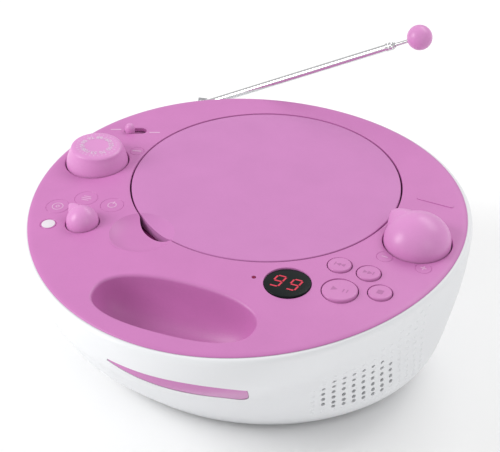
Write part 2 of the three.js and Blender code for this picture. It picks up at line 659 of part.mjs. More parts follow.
// A piece turned about the aerial's own line, from [radius, distance along] points
const along = (geometry) => geometry.rotateY(Math.PI / 2);
const eye = solid(rod(3.5, -2, 2).rotateX(Math.PI / 2)).subtract(solid(rod(1.28, -3, 3).rotateX(Math.PI / 2)));
const lowerTube = solid(along(turned([
  [0, 2.4], [2, 2.4], [2, 5.4], [2.6, 6.6], [2.6, AERIAL.collar - 6], [3, AERIAL.collar - 5], [3, AERIAL.collar],
  [2.3, AERIAL.collar], [2.3, 10], [0, 10],
], 20)));
add('aerial_lower_tube', lowerTube.add(eye), CHROME, mast);
add('aerial_middle_tube', along(turnedRing([
  [1.6, 11], [2, 11], [2, AERIAL.collar + 1.6], [1.6, AERIAL.collar + 1.6],
], 20)), CHROME, mast);
add('aerial_rod', along(rod(1.3, 12, AERIAL.ball - 4, 16)), CHROME, mast);
const ball = solid(new THREE.SphereGeometry(AERIAL.ballRadius, 18, 10).translate(AERIAL.ball, 0, 0))
  .subtract(solid(along(rod(1.6, AERIAL.ball - 12, AERIAL.ball - 3.6, 16))));
add('aerial_tip', ball, PINK, mast);

// ---- Loudspeakers behind the perforated sides ---------------------------------------------------

for (const [side, sign] of [['right', 1], ['left', -1]]) {
  const angle = radians(sign > 0 ? SPEAKER.angle : 180 - SPEAKER.angle);
  const seat = casingPoint({ height: SPEAKER.height, inset: 13 }, angle);
  const unit = new THREE.Group();
  unit.position.copy(seat);
  unit.rotation.set(0, radians(108), angle, 'ZYX');
  player.add(unit);
  const frame = turned([
    [0, -24], [10, -24], [10, -15.6], [27, -0.8], [27, 0], [SPEAKER.radius, 0],
    [SPEAKER.radius, -2], [29, -2.4], [14, -17], [14, -26], [0, -26],
  ], 16);
  add(`speaker_frame_${side}`, frame, STEEL, unit);
  add(`speaker_cone_${side}`, turned([
    [0, -8.6], [8, -11.4], [22, 0.8], [26.4, 0.4], [26.4, -0.6], [21.5, -0.4],
    [8.4, -12.6], [7.4, -12.6], [0, -10],
  ], 16), BLACK, unit);
}

// ---- Battery compartment, door, contacts, feet, boards and sockets ------------------------------

const boxLow = [-BATTERY.length / 2 - BATTERY.wall, BATTERY.y - BATTERY.width / 2 - BATTERY.wall, BASE + 3.3];
const boxHigh = [-boxLow[0], BATTERY.y + BATTERY.width / 2 + BATTERY.wall, BASE + 3.3 + BATTERY.height];
const cellSpace = box(
  [-BATTERY.length / 2, BATTERY.y - BATTERY.width / 2, 0],
  [BATTERY.length / 2, BATTERY.y + BATTERY.width / 2, boxHigh[2] - BATTERY.wall]);
add('battery_box', solid(box(boxLow, boxHigh)).subtract(solid(cellSpace)), WHITE);
add('battery_door', box(
  [-DOOR.length / 2, BATTERY.y - DOOR.width / 2, BASE],
  [DOOR.length / 2, BATTERY.y + DOOR.width / 2, BASE + 2.4]), WHITE);
for (const [name, x] of [['battery_contact_plus', -1], ['battery_contact_minus', 1]]) {
  let strip = solid(box([-0.4, -27, 10], [0.4, 27, 34]));
  for (const y of [-13.5, 13.5]) {
    strip = strip.add(solid(turned([[0, 0], [7, 0], [2, 4], [0, 4]], 16)
      .rotateY((-x * Math.PI) / 2).translate(0, y, 21)));
  }
  stand(name, strip, STEEL, x * (BATTERY.length / 2 - 0.7), BATTERY.y, 0);
}

const FEET = [[-54, -42], [54, -42], [-62, 68], [62, 68]];
FEET.forEach(([x, y], i) => {
  stand(`foot_${i + 1}`, turned([
    [0, 0], [7.5, 0], [8.5, 0.8], [8.5, BASE - GAP], [0, BASE - GAP],
  ], 20), RUBBER, x, y, 0);
});

add('main_board', box([-70, -30, 60], [66, 66, 61.6]), BOARD);
const core = solid(box([-76, 46, 62], [-34, 82, 82])).subtract(solid(box([-70, 40, 68], [-40, 90, 76])));
add('transformer', core.add(solid(box([-68, 42, 67], [-42, 86, 77]))), STEEL);

const socket = solid(box(
  [-INLET.width / 2, -INLET.depth, -INLET.height / 2], [INLET.width / 2, 0, INLET.height / 2]));
const socketHole = solid(slab(pill(15, 8), -INLET.depth + 4, 2).rotateX(-Math.PI / 2));
stand('ac_inlet', socket.subtract(socketHole), BLACK, INLET.x, INLET.y, INLET.z);
const jackBody = solid(rod(JACK.radius, -14, 0)).subtract(solid(rod(1.8, -12, 1, 16)));
const jack = add('headphone_jack', jackBody, BLACK);
jack.rotation.x = -Math.PI / 2;
jack.position.set(JACK.x, 131, JACK.z);

export default player;
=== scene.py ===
import math

import bmesh
import bpy
from mathutils import Matrix, Vector


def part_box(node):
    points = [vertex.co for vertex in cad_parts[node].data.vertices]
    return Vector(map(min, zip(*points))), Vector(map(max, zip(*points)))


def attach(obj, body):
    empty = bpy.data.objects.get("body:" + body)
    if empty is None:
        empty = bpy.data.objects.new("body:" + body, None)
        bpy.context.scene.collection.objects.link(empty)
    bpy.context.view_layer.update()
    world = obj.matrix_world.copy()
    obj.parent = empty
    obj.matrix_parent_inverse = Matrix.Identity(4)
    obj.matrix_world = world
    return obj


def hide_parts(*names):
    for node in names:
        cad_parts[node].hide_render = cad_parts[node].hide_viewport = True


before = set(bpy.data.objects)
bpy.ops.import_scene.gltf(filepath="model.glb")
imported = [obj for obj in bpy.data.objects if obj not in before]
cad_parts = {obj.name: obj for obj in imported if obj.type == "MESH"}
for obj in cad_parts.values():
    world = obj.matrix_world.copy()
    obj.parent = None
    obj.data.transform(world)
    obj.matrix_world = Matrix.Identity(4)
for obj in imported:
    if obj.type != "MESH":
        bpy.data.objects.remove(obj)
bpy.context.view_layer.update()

# ---- Studio -------------------------------------------------------------------------------------
# A pale sweep, a large softbox at the left front, a weaker one at the right and a strip behind.
# The camera looks down on the front right of the player.

STAGE_MIDDLE = Vector((-0.00142, 0.0010, 0.09487))


def away(azimuth, elevation, distance, middle=STAGE_MIDDLE):
    """The point at a distance from the middle; azimuth 0 is in front, 90 to the right."""
    turn, lift = math.radians(azimuth), math.radians(elevation)
    direction = Vector((math.sin(turn) * math.cos(lift), -math.cos(turn) * math.cos(lift), math.sin(lift)))
    return middle + distance * direction


def aim(thing, place, at=STAGE_MIDDLE):
    thing.location = place
    thing.rotation_euler = (at - place).to_track_quat("-Z", "Y").to_euler()


scene = bpy.context.scene
camera = bpy.data.objects.new("camera", bpy.data.cameras.new("camera"))
camera.data.lens = 172.99
camera.data.sensor_width = 36
camera.data.clip_end = 20
aim(camera, away(23.687, 33.978, 1.6))
scene.collection.objects.link(camera)
scene.camera = camera


def softbox(name, azimuth, elevation, distance, width, height, power):
    light = bpy.data.lights.new(name, "AREA")
    light.shape = "RECTANGLE"
    light.size = width
    light.size_y = height
    light.energy = power
    lamp = bpy.data.objects.new(name, light)
    aim(lamp, away(azimuth, elevation, distance))
    scene.collection.objects.link(lamp)


softbox("key_softbox", azimuth=-58, elevation=30, distance=1.5, width=0.6, height=0.8, power=12.5)
softbox("fill_softbox", azimuth=62, elevation=30, distance=1.7, width=0.5, height=1.0, power=2.4)
softbox("rear_strip", azimuth=158, elevation=48, distance=1.5, width=1.2, height=0.6, power=8)

world = bpy.data.worlds.new("studio")
world.use_nodes = True
world.node_tree.nodes["Background"].inputs["Color"].default_value = (1, 1, 1, 1)
world.node_tree.nodes["Background"].inputs["Strength"].default_value = 0.62
scene.world = world
scene.view_settings.view_transform = "Standard"

floor_mesh = bmesh.new()
bmesh.ops.create_grid(floor_mesh, x_segments=1, y_segments=1, size=6)
floor_data = bpy.data.meshes.new("floor")
floor_mesh.to_mesh(floor_data)
floor_mesh.free()
floor = bpy.data.objects.new("floor", floor_data)
scene.collection.objects.link(floor)
floor_paint = bpy.data.materials.new("pale_floor")
floor_paint.use_nodes = True
floor_surface = floor_paint.node_tree.nodes["Principled BSDF"].inputs
floor_surface["Base Color"].default_value = (0.96, 0.96, 0.96, 1)
floor_surface["Roughness"].default_value = 0.9
floor_surface["Specular IOR Level"].default_value = 0.1
floor_data.materials.append(floor_paint)

# ---- Lower casing -------------------------------------------------------------------------------
# The bowl is one injection moulding in polished cool white ABS, rounder below and three-lobed
# above, with drilled grilles, a recess for the pink inlay and openings for the mains and phones.

MM = 0.001
BACK_SHIFT = -12.2
DRAWING_TO_FRAME = Matrix.Scale(MM, 4) @ Matrix.Translation((0, BACK_SHIFT, 0))

BASE = 2.7  # underside, above the feet
RIM = 111  # height of the deck's edge at mid depth
TILT = 0.035  # the rim rises towards the back
# mean radius, set-back, ovalness and lobing at even steps of height
SECTIONS = [
    (99.4, 13.6, 0.105, 0.025),
    (124.8, 13.6, 0.048, -0.010),
    (134.7, 10.6, 0.022, 0.028),
    (145.0, 3.2, -0.019, 0.042),
    (149.2, 0.0, -0.002, 0.017),
]
CASING_STEPS = 240
TRIM = 0.45  # keeps the smooth wall inside the drawing's outline


def through_points(values, t):
    """A smooth (Catmull-Rom) curve through even steps, with its ends carried on straight."""
    padded = [2 * values[0] - values[1], *values, 2 * values[-1] - values[-2]]
    place = min(max(t, 0), 1) * (len(values) - 1)
    i = min(int(place), len(values) - 2)
    u = place - i
    a, b, c, d = padded[i : i + 4]
    return 0.5 * (2 * b + (c - a) * u + (2 * a - 5 * b + 4 * c - d) * u**2 + (3 * b - a - 3 * c + d) * u**3)


def lobe(angle):
    return math.cos(3 * (angle + math.pi / 2))


def casing_point(angle, height, inset=0.0, reach=1.0):
    """A point of the casing's outer skin, moved inwards by inset; reach 0 is the middle."""
    radius, set_back, oval, lobes = (through_points(values, height / RIM) for values in zip(*SECTIONS))
    r = reach * (radius * (1 + oval * math.cos(2 * angle) + lobes * lobe(angle)) - inset - TRIM)
    y = set_back + r * math.sin(angle)
    return Vector((r * math.cos(angle), y, height + TILT * y * (height - BASE) / (RIM - BASE)))


def casing_normal(angle, height):
    step = 0.01
    across = casing_point(angle + step, height) - casing_point(angle - step, height)
    upwards = casing_point(angle, height + 0.5) - casing_point(angle, height - 0.5)
    return across.cross(upwards).normalized()


def outwards(bm):
    """Turns every face of a closed solid outwards."""
    bmesh.ops.recalc_face_normals(bm, faces=bm.faces)
    if bm.calc_volume(signed=True) < 0:
        bmesh.ops.reverse_faces(bm, faces=bm.faces)
    return bm


def spun(points, steps=96, closed=False):
    """A profile of (radius, height) points turned about the Z axis."""
    bm = bmesh.new()
    corners = [bm.verts.new((radius, 0, height)) for radius, height in points]
    lines = [bm.edges.new(pair) for pair in zip(corners, corners[1:])]
    if closed:
        lines.append(bm.edges.new((corners[-1], corners[0])))
    bmesh.ops.spin(
        bm, geom=corners + lines, cent=(0, 0, 0), axis=(0, 0, 1), angle=2 * math.pi, steps=steps,
        use_merge=True
    )
    bmesh.ops.remove_doubles(bm, verts=bm.verts, dist=1e-4)
    return outwards(bm)


def spun_and_placed(rows, steps, place, closed=False):
    """A tube of rows turned about Z, then each point put where place(angle, *row) says."""
    bm = spun([(1, i) for i in range(len(rows))], steps, closed)
    for vert in bm.verts:
        vert.co = place(math.atan2(vert.co.y, vert.co.x), *rows[round(vert.co.z)])
    bmesh.ops.remove_doubles(bm, verts=bm.verts, dist=1e-3)
    return outwards(bm)


def quarter(count):
    """Angles from 0 to 90 degrees for a rounded edge."""
    return [math.radians(90 * i / count) for i in range(count + 1)]


def block(low, high, rounding=0.0, segments=3):
    low, high = Vector(low), Vector(high)
    bm = bmesh.new()
    bmesh.ops.create_cube(bm, size=1)
    size = Matrix.Diagonal((*(high - low), 1))
    bmesh.ops.transform(bm, matrix=Matrix.Translation((low + high) / 2) @ size, verts=bm.verts)
    if rounding:
        bmesh.ops.bevel(
            bm, geom=bm.edges[:], offset=rounding, segments=segments, profile=0.5, affect="EDGES",
            material=-1
        )
    return bm


def rod(radius, bottom, top, steps=48, rounding=0.0):
    bm = bmesh.new()
    bmesh.ops.create_cone(
        bm, cap_ends=True, segments=steps, radius1=radius, radius2=radius, depth=top - bottom,
        matrix=shifted(0, 0, (top + bottom) / 2),
    )
    if rounding:
        rims = [edge for edge in bm.edges if abs(edge.verts[0].co.z - edge.verts[1].co.z) < 1e-6]
        bmesh.ops.bevel(
            bm, geom=rims, offset=rounding, segments=3, profile=0.5, affect="EDGES", material=-1
        )
    return bm


def shifted(x, y, z=0.0):
    return Matrix.Translation((x, y, z))


def rotated(degrees, axis="Z"):
    return Matrix.Rotation(math.radians(degrees), 4, axis)


def moved(bm, *matrices):
    """The mesh turned and moved by the matrices, the last one first."""
    whole = Matrix.Identity(4)
    for matrix in matrices:
        whole = whole @ matrix
    bmesh.ops.transform(bm, matrix=whole, verts=bm.verts)
    return bm


def raised(bm, *vector):
    """A flat outline made solid by drawing its faces out along a vector."""
    drawn = bmesh.ops.extrude_face_region(bm, geom=bm.faces[:])["geom"]
    corners = [corner for corner in drawn if isinstance(corner, bmesh.types.BMVert)]
    bmesh.ops.translate(bm, vec=vector, verts=corners)
    return outwards(bm)


def joined(*parts):
    """Several separate solids as one mesh."""
    whole = bmesh.new()
    for part in parts:
        mesh = bpy.data.meshes.new("part")
        part.to_mesh(mesh)
        whole.from_mesh(mesh)
        part.free()
        bpy.data.meshes.remove(mesh)
    return whole


def combined(bm, other, operation="DIFFERENCE"):
    """One solid cut by, or joined with, another."""
    things = []
    for part in (bm, other):
        mesh = bpy.data.meshes.new("solid")
        part.to_mesh(mesh)
        part.free()
        things.append(bpy.data.objects.new("solid", mesh))
        scene.collection.objects.link(things[-1])
    boolean = things[0].modifiers.new("boolean", "BOOLEAN")
    boolean.operation = operation
    boolean.solver = "EXACT"
    boolean.object = things[1]
    result = bmesh.new()
    result.from_object(things[0], bpy.context.evaluated_depsgraph_get())
    for thing in things:
        bpy.data.meshes.remove(thing.data)
    bmesh.ops.remove_doubles(result, verts=result.verts, dist=1e-4)
    return result


def piece(name, bm, body, slot, material, *nodes, sharp=30):
    """Makes the finished piece in the frame's metres, riding on its body in place of CAD nodes."""
    bmesh.ops.transform(bm, matrix=DRAWING_TO_FRAME, verts=bm.verts)
    mesh = bpy.data.meshes.new(name)
    bm.to_mesh(mesh)
    bm.free()
    mesh.shade_smooth()
    mesh.set_sharp_from_angle(angle=math.radians(sharp))
    mesh.materials.append(material)
    thing = bpy.data.objects.new(name, mesh)
    scene.collection.objects.link(thing)
    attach(thing, body)
    if nodes:
        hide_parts(*nodes)
    return thing


def node(tree, kind, sockets=None, **settings):
    made = tree.nodes.new(kind)
    for key, value in settings.items():
        setattr(made, key, value)
    for key, value in (sockets or {}).items():
        made.inputs[key].default_value = value
    return made


def shared_group(name, inputs, outputs):
    """An empty shader group with named inputs and outputs, and its two end nodes."""
    tree = bpy.data.node_groups.new(name, "ShaderNodeTree")
    for socket, kind in inputs:
        tree.interface.new_socket(socket, in_out="INPUT", socket_type=f"NodeSocket{kind}")
    for socket, kind in outputs:
        tree.interface.new_socket(socket, in_out="OUTPUT", socket_type=f"NodeSocket{kind}")
    return tree, tree.nodes.new("NodeGroupInput").outputs, tree.nodes.new("NodeGroupOutput").inputs


# Moulded grain: an even field of shallow rounded pits with finer noise between them
grain, given, gives = shared_group(
    "moulded_grain", [("Point", "Vector"), ("Pitch Scale", "Float"), ("Scatter", "Float")],
    [("Height", "Float")]
)
pits = node(grain, "ShaderNodeTexVoronoi", feature="F1")
fine = node(grain, "ShaderNodeTexNoise", {"Scale": 2600, "Detail": 3})
pits_and_fine = node(grain, "ShaderNodeMix", {"Factor": 0.3}, data_type="FLOAT")
grain.links.new(given["Point"], pits.inputs["Vector"])
grain.links.new(given["Pitch Scale"], pits.inputs["Scale"])
grain.links.new(given["Scatter"], pits.inputs["Randomness"])
grain.links.new(given["Point"], fine.inputs["Vector"])
grain.links.new(pits.outputs["Distance"], pits_and_fine.inputs["A"])
grain.links.new(fine.outputs["Fac"], pits_and_fine.inputs["B"])
grain.links.new(pits_and_fine.outputs["Result"], gives["Height"])

# Handled surface: broad, faint changes of shade and polish with a fine fleck in the resin
handled, given, gives = shared_group(
    "handled_surface",
    [("Point", "Vector"), ("Colour", "Color"), ("Shade Colour", "Color"), ("Roughness", "Float"),
     ("Spread", "Float")],
    [("Colour", "Color"), ("Roughness", "Float")],
)
clouds = node(handled, "ShaderNodeTexNoise", {"Scale": 34, "Detail": 4, "Roughness": 0.6})
fleck = node(handled, "ShaderNodeTexNoise", {"Scale": 900, "Detail": 2})
cloud_mask = node(
    handled, "ShaderNodeMapRange", {"From Min": 0.3, "From Max": 0.7, "To Min": 0, "To Max": 0.7}
)
fleck_mask = node(
    handled, "ShaderNodeMapRange", {"From Min": 0.45, "From Max": 0.75, "To Min": 0, "To Max": 0.3}
)
shade_mask = node(handled, "ShaderNodeMath", operation="ADD", use_clamp=True)
shade = node(handled, "ShaderNodeMix", data_type="RGBA")
polish = node(handled, "ShaderNodeMath", operation="MULTIPLY_ADD")
centred = node(handled, "ShaderNodeMath", {1: 0.5}, operation="SUBTRACT")
handled.links.new(given["Point"], clouds.inputs["Vector"])
handled.links.new(given["Point"], fleck.inputs["Vector"])
handled.links.new(clouds.outputs["Fac"], cloud_mask.inputs["Value"])
handled.links.new(fleck.outputs["Fac"], fleck_mask.inputs["Value"])
handled.links.new(cloud_mask.outputs["Result"], shade_mask.inputs[0])
handled.links.new(fleck_mask.outputs["Result"], shade_mask.inputs[1])
handled.links.new(shade_mask.outputs[0], shade.inputs["Factor"])
handled.links.new(given["Colour"], shade.inputs["A"])
handled.links.new(given["Shade Colour"], shade.inputs["B"])
handled.links.new(shade.outputs["Result"], gives["Colour"])
handled.links.new(clouds.outputs["Fac"], centred.inputs[0])
handled.links.new(centred.outputs[0], polish.inputs[0])
handled.links.new(given["Spread"], polish.inputs[1])
handled.links.new(given["Roughness"], polish.inputs[2])
handled.links.new(polish.outputs[0], gives["Roughness"])


def moulded(name, colour, roughness, pitch, depth, scatter=0.6, spread=0.12, darker=0.93, coat=0.0,
            metal=0.0, shine=0.5):
    """A plastic or metal finish: handled colour and polish, with a moulded or cast grain in mm."""
    material = bpy.data.materials.new(name)
    material.use_nodes = True
    tree = material.node_tree
    surface = tree.nodes["Principled BSDF"]
    point = node(tree, "ShaderNodeTexCoord").outputs["Object"]
    shading = node(tree, "ShaderNodeGroup", node_tree=handled)
    shading.inputs["Colour"].default_value = (*colour, 1)
    shading.inputs["Shade Colour"].default_value = (*(channel * darker for channel in colour), 1)
    shading.inputs["Roughness"].default_value = roughness
    shading.inputs["Spread"].default_value = spread
    pitting = node(tree, "ShaderNodeGroup", node_tree=grain)
    pitting.inputs["Pitch Scale"].default_value = 1 / (pitch * MM)
    pitting.inputs["Scatter"].default_value = scatter
    bump = node(tree, "ShaderNodeBump", {"Strength": 1, "Distance": depth * MM})
    tree.links.new(point, shading.inputs["Point"])
    tree.links.new(point, pitting.inputs["Point"])
    tree.links.new(pitting.outputs["Height"], bump.inputs["Height"])
    tree.links.new(shading.outputs["Colour"], surface.inputs["Base Color"])
    tree.links.new(shading.outputs["Roughness"], surface.inputs["Roughness"])
    tree.links.new(bump.outputs["Normal"], surface.inputs["Normal"])
    surface.inputs["Metallic"].default_value = metal
    surface.inputs["Specular IOR Level"].default_value = shine
    surface.inputs["Coat Weight"].default_value = coat
    surface.inputs["Coat Roughness"].default_value = 0.12
    return material


gloss_white = moulded(
    "gloss_white_abs", (0.80, 0.81, 0.83), roughness=0.36, pitch=0.5, depth=0.001, spread=0.04, darker=0.985
)

LIP = 109.4
OUTER_ROWS = (
    [(BASE, 0, 0), (BASE, 3.5, 0.4), (BASE, 3.5, 0.8)]
    + [(BASE + 1.8 * (1 - math.cos(a)), 3.5 * (1 - math.sin(a)), 1) for a in quarter(6)]
    + [(4.5 + 99.5 * (i + 1) / 34, 0, 1) for i in range(34)]
    + [(104 + (LIP - 104) * math.sin(a), 3.2 * (1 - math.cos(a)), 1) for a in quarter(7)[1:]]
)
INNER_ROWS = [
    (LIP, 5.4, 1), (88, 3, 1), (73, 3, 1), (58, 3, 1), (43, 3.4, 1), (28, 3.8, 1), (11, 5.5, 1),
    (BASE + 3, 10, 1), (BASE + 3, 0, 0),
]
shell = spun_and_placed(OUTER_ROWS + INNER_ROWS, CASING_STEPS, casing_point)

# Grilles: rows and columns follow the wall; the middle ones are drilled right through and the
# outer ones are blind dimples that fade out of the pattern. The left grille has these dimples
# only round the back end of its holes.
GRILLE_START = math.radians(-45.8)
GRILLE_STEP = math.radians(3.15)
HOLE_RADIUS = 1.5
DIMPLE_BALL = 2.6
DIMPLE_SINK = 2.02  # the ball's middle stands this far off the wall


def grille_cell(column, row):
    return GRILLE_START + GRILLE_STEP * column, 37.4 + 3.85 * row + 0.31 * row**2


def is_hole(column, row):
    corner = column in (0, 7) and row in (0, 5)
    return 0 <= column <= 7 and 0 <= row <= 5 and not corner


def is_dimple(column, row):
    top = 6 if column < 6 else 7 + (column - 6) // 2
    left = -1 if row < 5 else 0
    return left <= column <= 11 and -1 <= row <= top and not is_hole(column, row)


def on_wall(angle, height, off=0.0):
    normal = casing_normal(angle, height)
    turn = normal.to_track_quat("Z", "Y").to_matrix().to_4x4()
    return Matrix.Translation(casing_point(angle, height) + normal * off) @ turn


drills = bmesh.new()
for column in range(-2, 13):
    for row in range(-1, 11):
        angle, height = grille_cell(column, row)
        for side_angle in (angle, math.pi - angle):
            if is_hole(column, row):
                bmesh.ops.create_cone(
                    drills, cap_ends=True, segments=14, radius1=HOLE_RADIUS, radius2=HOLE_RADIUS, depth=14,
                    matrix=on_wall(side_angle, height),
                )
            elif is_dimple(column, row) and (side_angle == angle or column > 4):
                bmesh.ops.create_uvsphere(
                    drills, u_segments=12, v_segments=8, radius=DIMPLE_BALL,
                    matrix=on_wall(side_angle, height, DIMPLE_SINK),
                )
shell = combined(shell, drills)

# Pink crescent: from a point at the left to a straight end at the right, round below
ACCENT_LEFT = math.radians(-100)
ACCENT_RIGHT = math.radians(-66)
ACCENT_SUNK = 0.5
ACCENT_DEPTH = 1.2


def accent(grow, outer, inner):
    """The crescent's block between two depths under the wall, larger all round by grow."""
    bm = bmesh.new()
    bmesh.ops.create_grid(bm, x_segments=90, y_segments=10, size=0.5)
    sheet = bm.faces[:]
    inside = bmesh.ops.extrude_face_region(bm, geom=sheet)["geom"]
    deep = {vert for vert in inside if isinstance(vert, bmesh.types.BMVert)}
    for vert in bm.verts:
        along = vert.co.x + 0.5
        angle = ACCENT_LEFT + (ACCENT_RIGHT - ACCENT_LEFT) * along + (2 * along - 1) * grow * 0.008
        half_width = 0.5 + 6 * along + 9 * along**5
        middle = 92.8 - 14 * along**1.2 - 13 * along**3.5
        top = middle + half_width + 28 * along**3 * (1 - along) + grow
        bottom = middle - half_width - 12 * along * (1 - along) ** 2 - grow
        rise = 0.0 if along < 0.84 else 1 - math.sqrt(max(1 - ((along - 0.84) / 0.16) ** 2, 0))
        bottom += 1.5 * half_width * rise
        height = bottom + (top - bottom) * (vert.co.y + 0.5)
        vert.co = casing_point(angle, height, inner if vert in deep else outer)
    return outwards(bm)


shell = combined(shell, accent(0.25, -2, ACCENT_DEPTH + 0.25))

BATTERY_Y = 25
DOOR_LENGTH, DOOR_WIDTH, DOOR_GAP = 150, 58, 0.4
INLET = Vector((62, 118, 44))
INLET_SIZE = Vector((22, 16, 13))
JACK = Vector((32, 131, 44))
JACK_RADIUS = 5

inlet_way = block(
    (INLET.x - INLET_SIZE.x / 2 - 0.3, 70, INLET.z - INLET_SIZE.z / 2 - 0.3),
    (INLET.x + INLET_SIZE.x / 2 + 0.3, 170, INLET.z + INLET_SIZE.z / 2 + 0.3),
)
jack_way = moved(rod(JACK_RADIUS + 0.3, 60, 170), shifted(JACK.x, 0, JACK.z), rotated(-90, "X"))
door_way = block(
    (-DOOR_LENGTH / 2 - DOOR_GAP, BATTERY_Y - DOOR_WIDTH / 2 - DOOR_GAP, -5),
    (DOOR_LENGTH / 2 + DOOR_GAP, BATTERY_Y + DOOR_WIDTH / 2 + DOOR_GAP, BASE + 4),
)
shell = combined(shell, joined(inlet_way, jack_way, door_way))
piece("lower_casing", shell, "casing", "white_shell", gloss_white, "lower_shell")

# ---- Front inlay --------------------------------------------------------------------------------
# A pink ABS crescent pressed into its recess in the front wall, half a millimetre below the white.

satin_pink = moulded("satin_pink_abs", (0.60, 0.225, 0.50), roughness=0.36, pitch=0.5, depth=0.004,
                     spread=0.08,
                     shine=0.35)
piece(
    "front_inlay", accent(0, ACCENT_SUNK, ACCENT_DEPTH), "casing", "pink_satin", satin_pink,
    "front_accent"
)

# ---- Control deck -------------------------------------------------------------------------------
# One pink ABS moulding with an even stippled grain. It is level at the lid and falls to a tilted
# rim, and it holds the grip cup, the finger dimple and the openings of all the controls.

LID_Y, LID_Z, LID_RADIUS, SEAM = 37, 114.3, 90.6, 0.5
PANEL_RADIUS = 145
WALL = 2.5


def rim_radius(angle):
    return PANEL_RADIUS * (1 + 0.017 * lobe(angle) - 0.002 * math.cos(2 * angle))


def deck_height(x, y):
    """Level with the lid at its edge, falling smoothly to the rim."""
    from_lid = max(math.hypot(x, y - LID_Y) - LID_RADIUS, 0)
    from_rim = max(rim_radius(math.atan2(y, x)) - math.hypot(x, y), 0)
    t = from_lid / max(from_lid + from_rim, 1e-6)
    ease = (t + t * t * (3 - 2 * t)) / 2
    return LID_Z + (RIM + TILT * y - LID_Z) * ease


def deck_point(angle, across, inset, drop):
    inner = Vector((0, LID_Y)) + (LID_RADIUS + SEAM) * Vector((math.cos(angle), math.sin(angle)))
    outer = (rim_radius(angle) - inset) * Vector((math.cos(angle), math.sin(angle)))
    place = inner.lerp(outer, across)
    return Vector((place.x, place.y, deck_height(place.x, place.y) - drop))


DECK_ROWS = (
    [(0, 4, 0.45), (0.003, 4, 0.13), (0.008, 4, 0)]
    + [((i + 1) / 32, 4, 0) for i in range(31)]
    + [(1, 4 * (1 - math.sin(a)), 1.25 * (1 - math.cos(a))) for a in quarter(7)]
    + [(1, 6.4, 1.25), (1, 7.4, WALL), (0, 4, WALL)]
)
deck = spun_and_placed(DECK_ROWS, 300, deck_point, closed=True)

CUP_Y, CUP_LENGTH, CUP_WIDTH, CUP_DEPTH, CUP_POWER = -109, 54.6, 23.7, 34, 2.4
CUP_LIP = 2.2  # radius of the soft edge round the mouth
LIP_START = math.radians(15)


def cup_point(angle, reach, out, below, follows):
    """A point of the cup: reach in from the mouth's outline, out beyond it, below the deck."""
    c, s = math.cos(angle), math.sin(angle)
    size = (abs(c) ** CUP_POWER + abs(s) ** CUP_POWER) ** (-1 / CUP_POWER)
    x = reach * size * c * CUP_LENGTH + out * c
    y = CUP_Y + reach * size * s * CUP_WIDTH + out * s
    level = deck_height(x, y) if follows else deck_height(0, CUP_Y)
    return Vector((x, y, level - below))


def bowl_rows(wall, start=0.0):
    """The cup's wall from the mouth to the middle of its rounded floor."""
    rows = []
    for i in range(19):
        depth = start + (1 - start) * math.sin(math.pi / 2 * i / 18)
        reach = max(1 - depth**2.6, 0) ** (1 / 3)
        rows.append((reach, wall, depth * (CUP_DEPTH + wall), False))
    rows[-1] = (0, 0, CUP_DEPTH + wall, False)
    return rows


lip_angles = [LIP_START + (math.pi / 2 - LIP_START) * i / 6 for i in range(7)]
lip_rows = [(1, CUP_LIP * (1 - math.sin(a)), CUP_LIP * (1 - math.cos(a)), True) for a in lip_angles]
flare_out = lip_rows[0][1] + 0.4 / math.tan(LIP_START)
cup_hollow = spun_and_placed(
    [(0, 0, -4, True), (1, flare_out, -4, True), (1, flare_out, lip_rows[0][2] - 0.4, True)]
    + lip_rows + bowl_rows(0, 0.12), 120, cup_point)
cup_outside = spun_and_placed(
    [(0, 0, 1.2, True), (1, WALL, 1.2, True)] + bowl_rows(WALL, 0.1), 120, cup_point
)
deck = combined(deck, cup_outside, "UNION")

DIMPLE = Vector((-52.3, -48.8))
DIMPLE_RADIUS, DIMPLE_DEPTH = 22, 4.5
dimple_level = deck_height(DIMPLE.x, DIMPLE.y)


def dimple_bowl(offset, reach, top):
    """A shallow round bowl under the deck, with its lid at top."""
    steps = [reach * i / 20 for i in range(21)]
    curve = [(r, DIMPLE_DEPTH * (r / DIMPLE_RADIUS) ** 3.4 - DIMPLE_DEPTH - offset) for r in steps]
    bowl = spun([*curve, (reach, top), (0, top)], 72)
    return moved(bowl, shifted(DIMPLE.x, DIMPLE.y, dimple_level))


def lid_opening():
    return moved(rod(LID_RADIUS + SEAM, 90, 125, 300), shifted(0, LID_Y))


deck = combined(deck, combined(dimple_bowl(2.2, DIMPLE_RADIUS - 1, -1.4), lid_opening()), "UNION")


def on_deck(bm, x=0.0, y=0.0, turn=0.0):
    """A flat shape moved to its place, then laid on the deck with its heights above it."""
    moved(bm, shifted(x, y), rotated(turn))
    for vert in bm.verts:
        vert.co.z += deck_height(vert.co.x, vert.co.y)
    return bm


def opening(radius, lip=0.6, steps=72):
    """A round hole with a softened edge, to be cut through the deck."""
    soft = [(radius + lip * (1 - math.sin(a)), lip * (math.cos(a) - 1)) for a in quarter(4)[1:]]
    return spun(
        [(0, 3), (radius + lip + 0.5, 3), (radius + lip + 0.5, 0.35), *soft, (radius, -9), (0, -9)], steps
    )


def engraved_ring(radius, width=0.45, depth=0.3, steps=64):
    half = width / 2
    return spun([(radius - half, 0.3), (radius - half, 0), (radius, -depth), (radius + half, 0),
                 (radius + half, 0.3)],
                steps, closed=True)


def pill(length, width, bottom, top, steps=24):
    """A stadium-shaped block along X."""
    bm = bmesh.new()
    bmesh.ops.create_circle(bm, cap_ends=True, radius=width / 2, segments=steps)
    for vert in bm.verts:
        vert.co.x += math.copysign((length - width) / 2, vert.co.x)
        vert.co.z = bottom
    return raised(bm, 0, 0, top - bottom)


def middle_of(name):
    """A CAD node's middle on the drawing."""
    low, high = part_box(name)
    return (low + high) / 2 / MM - Vector((0, BACK_SHIFT, 0))


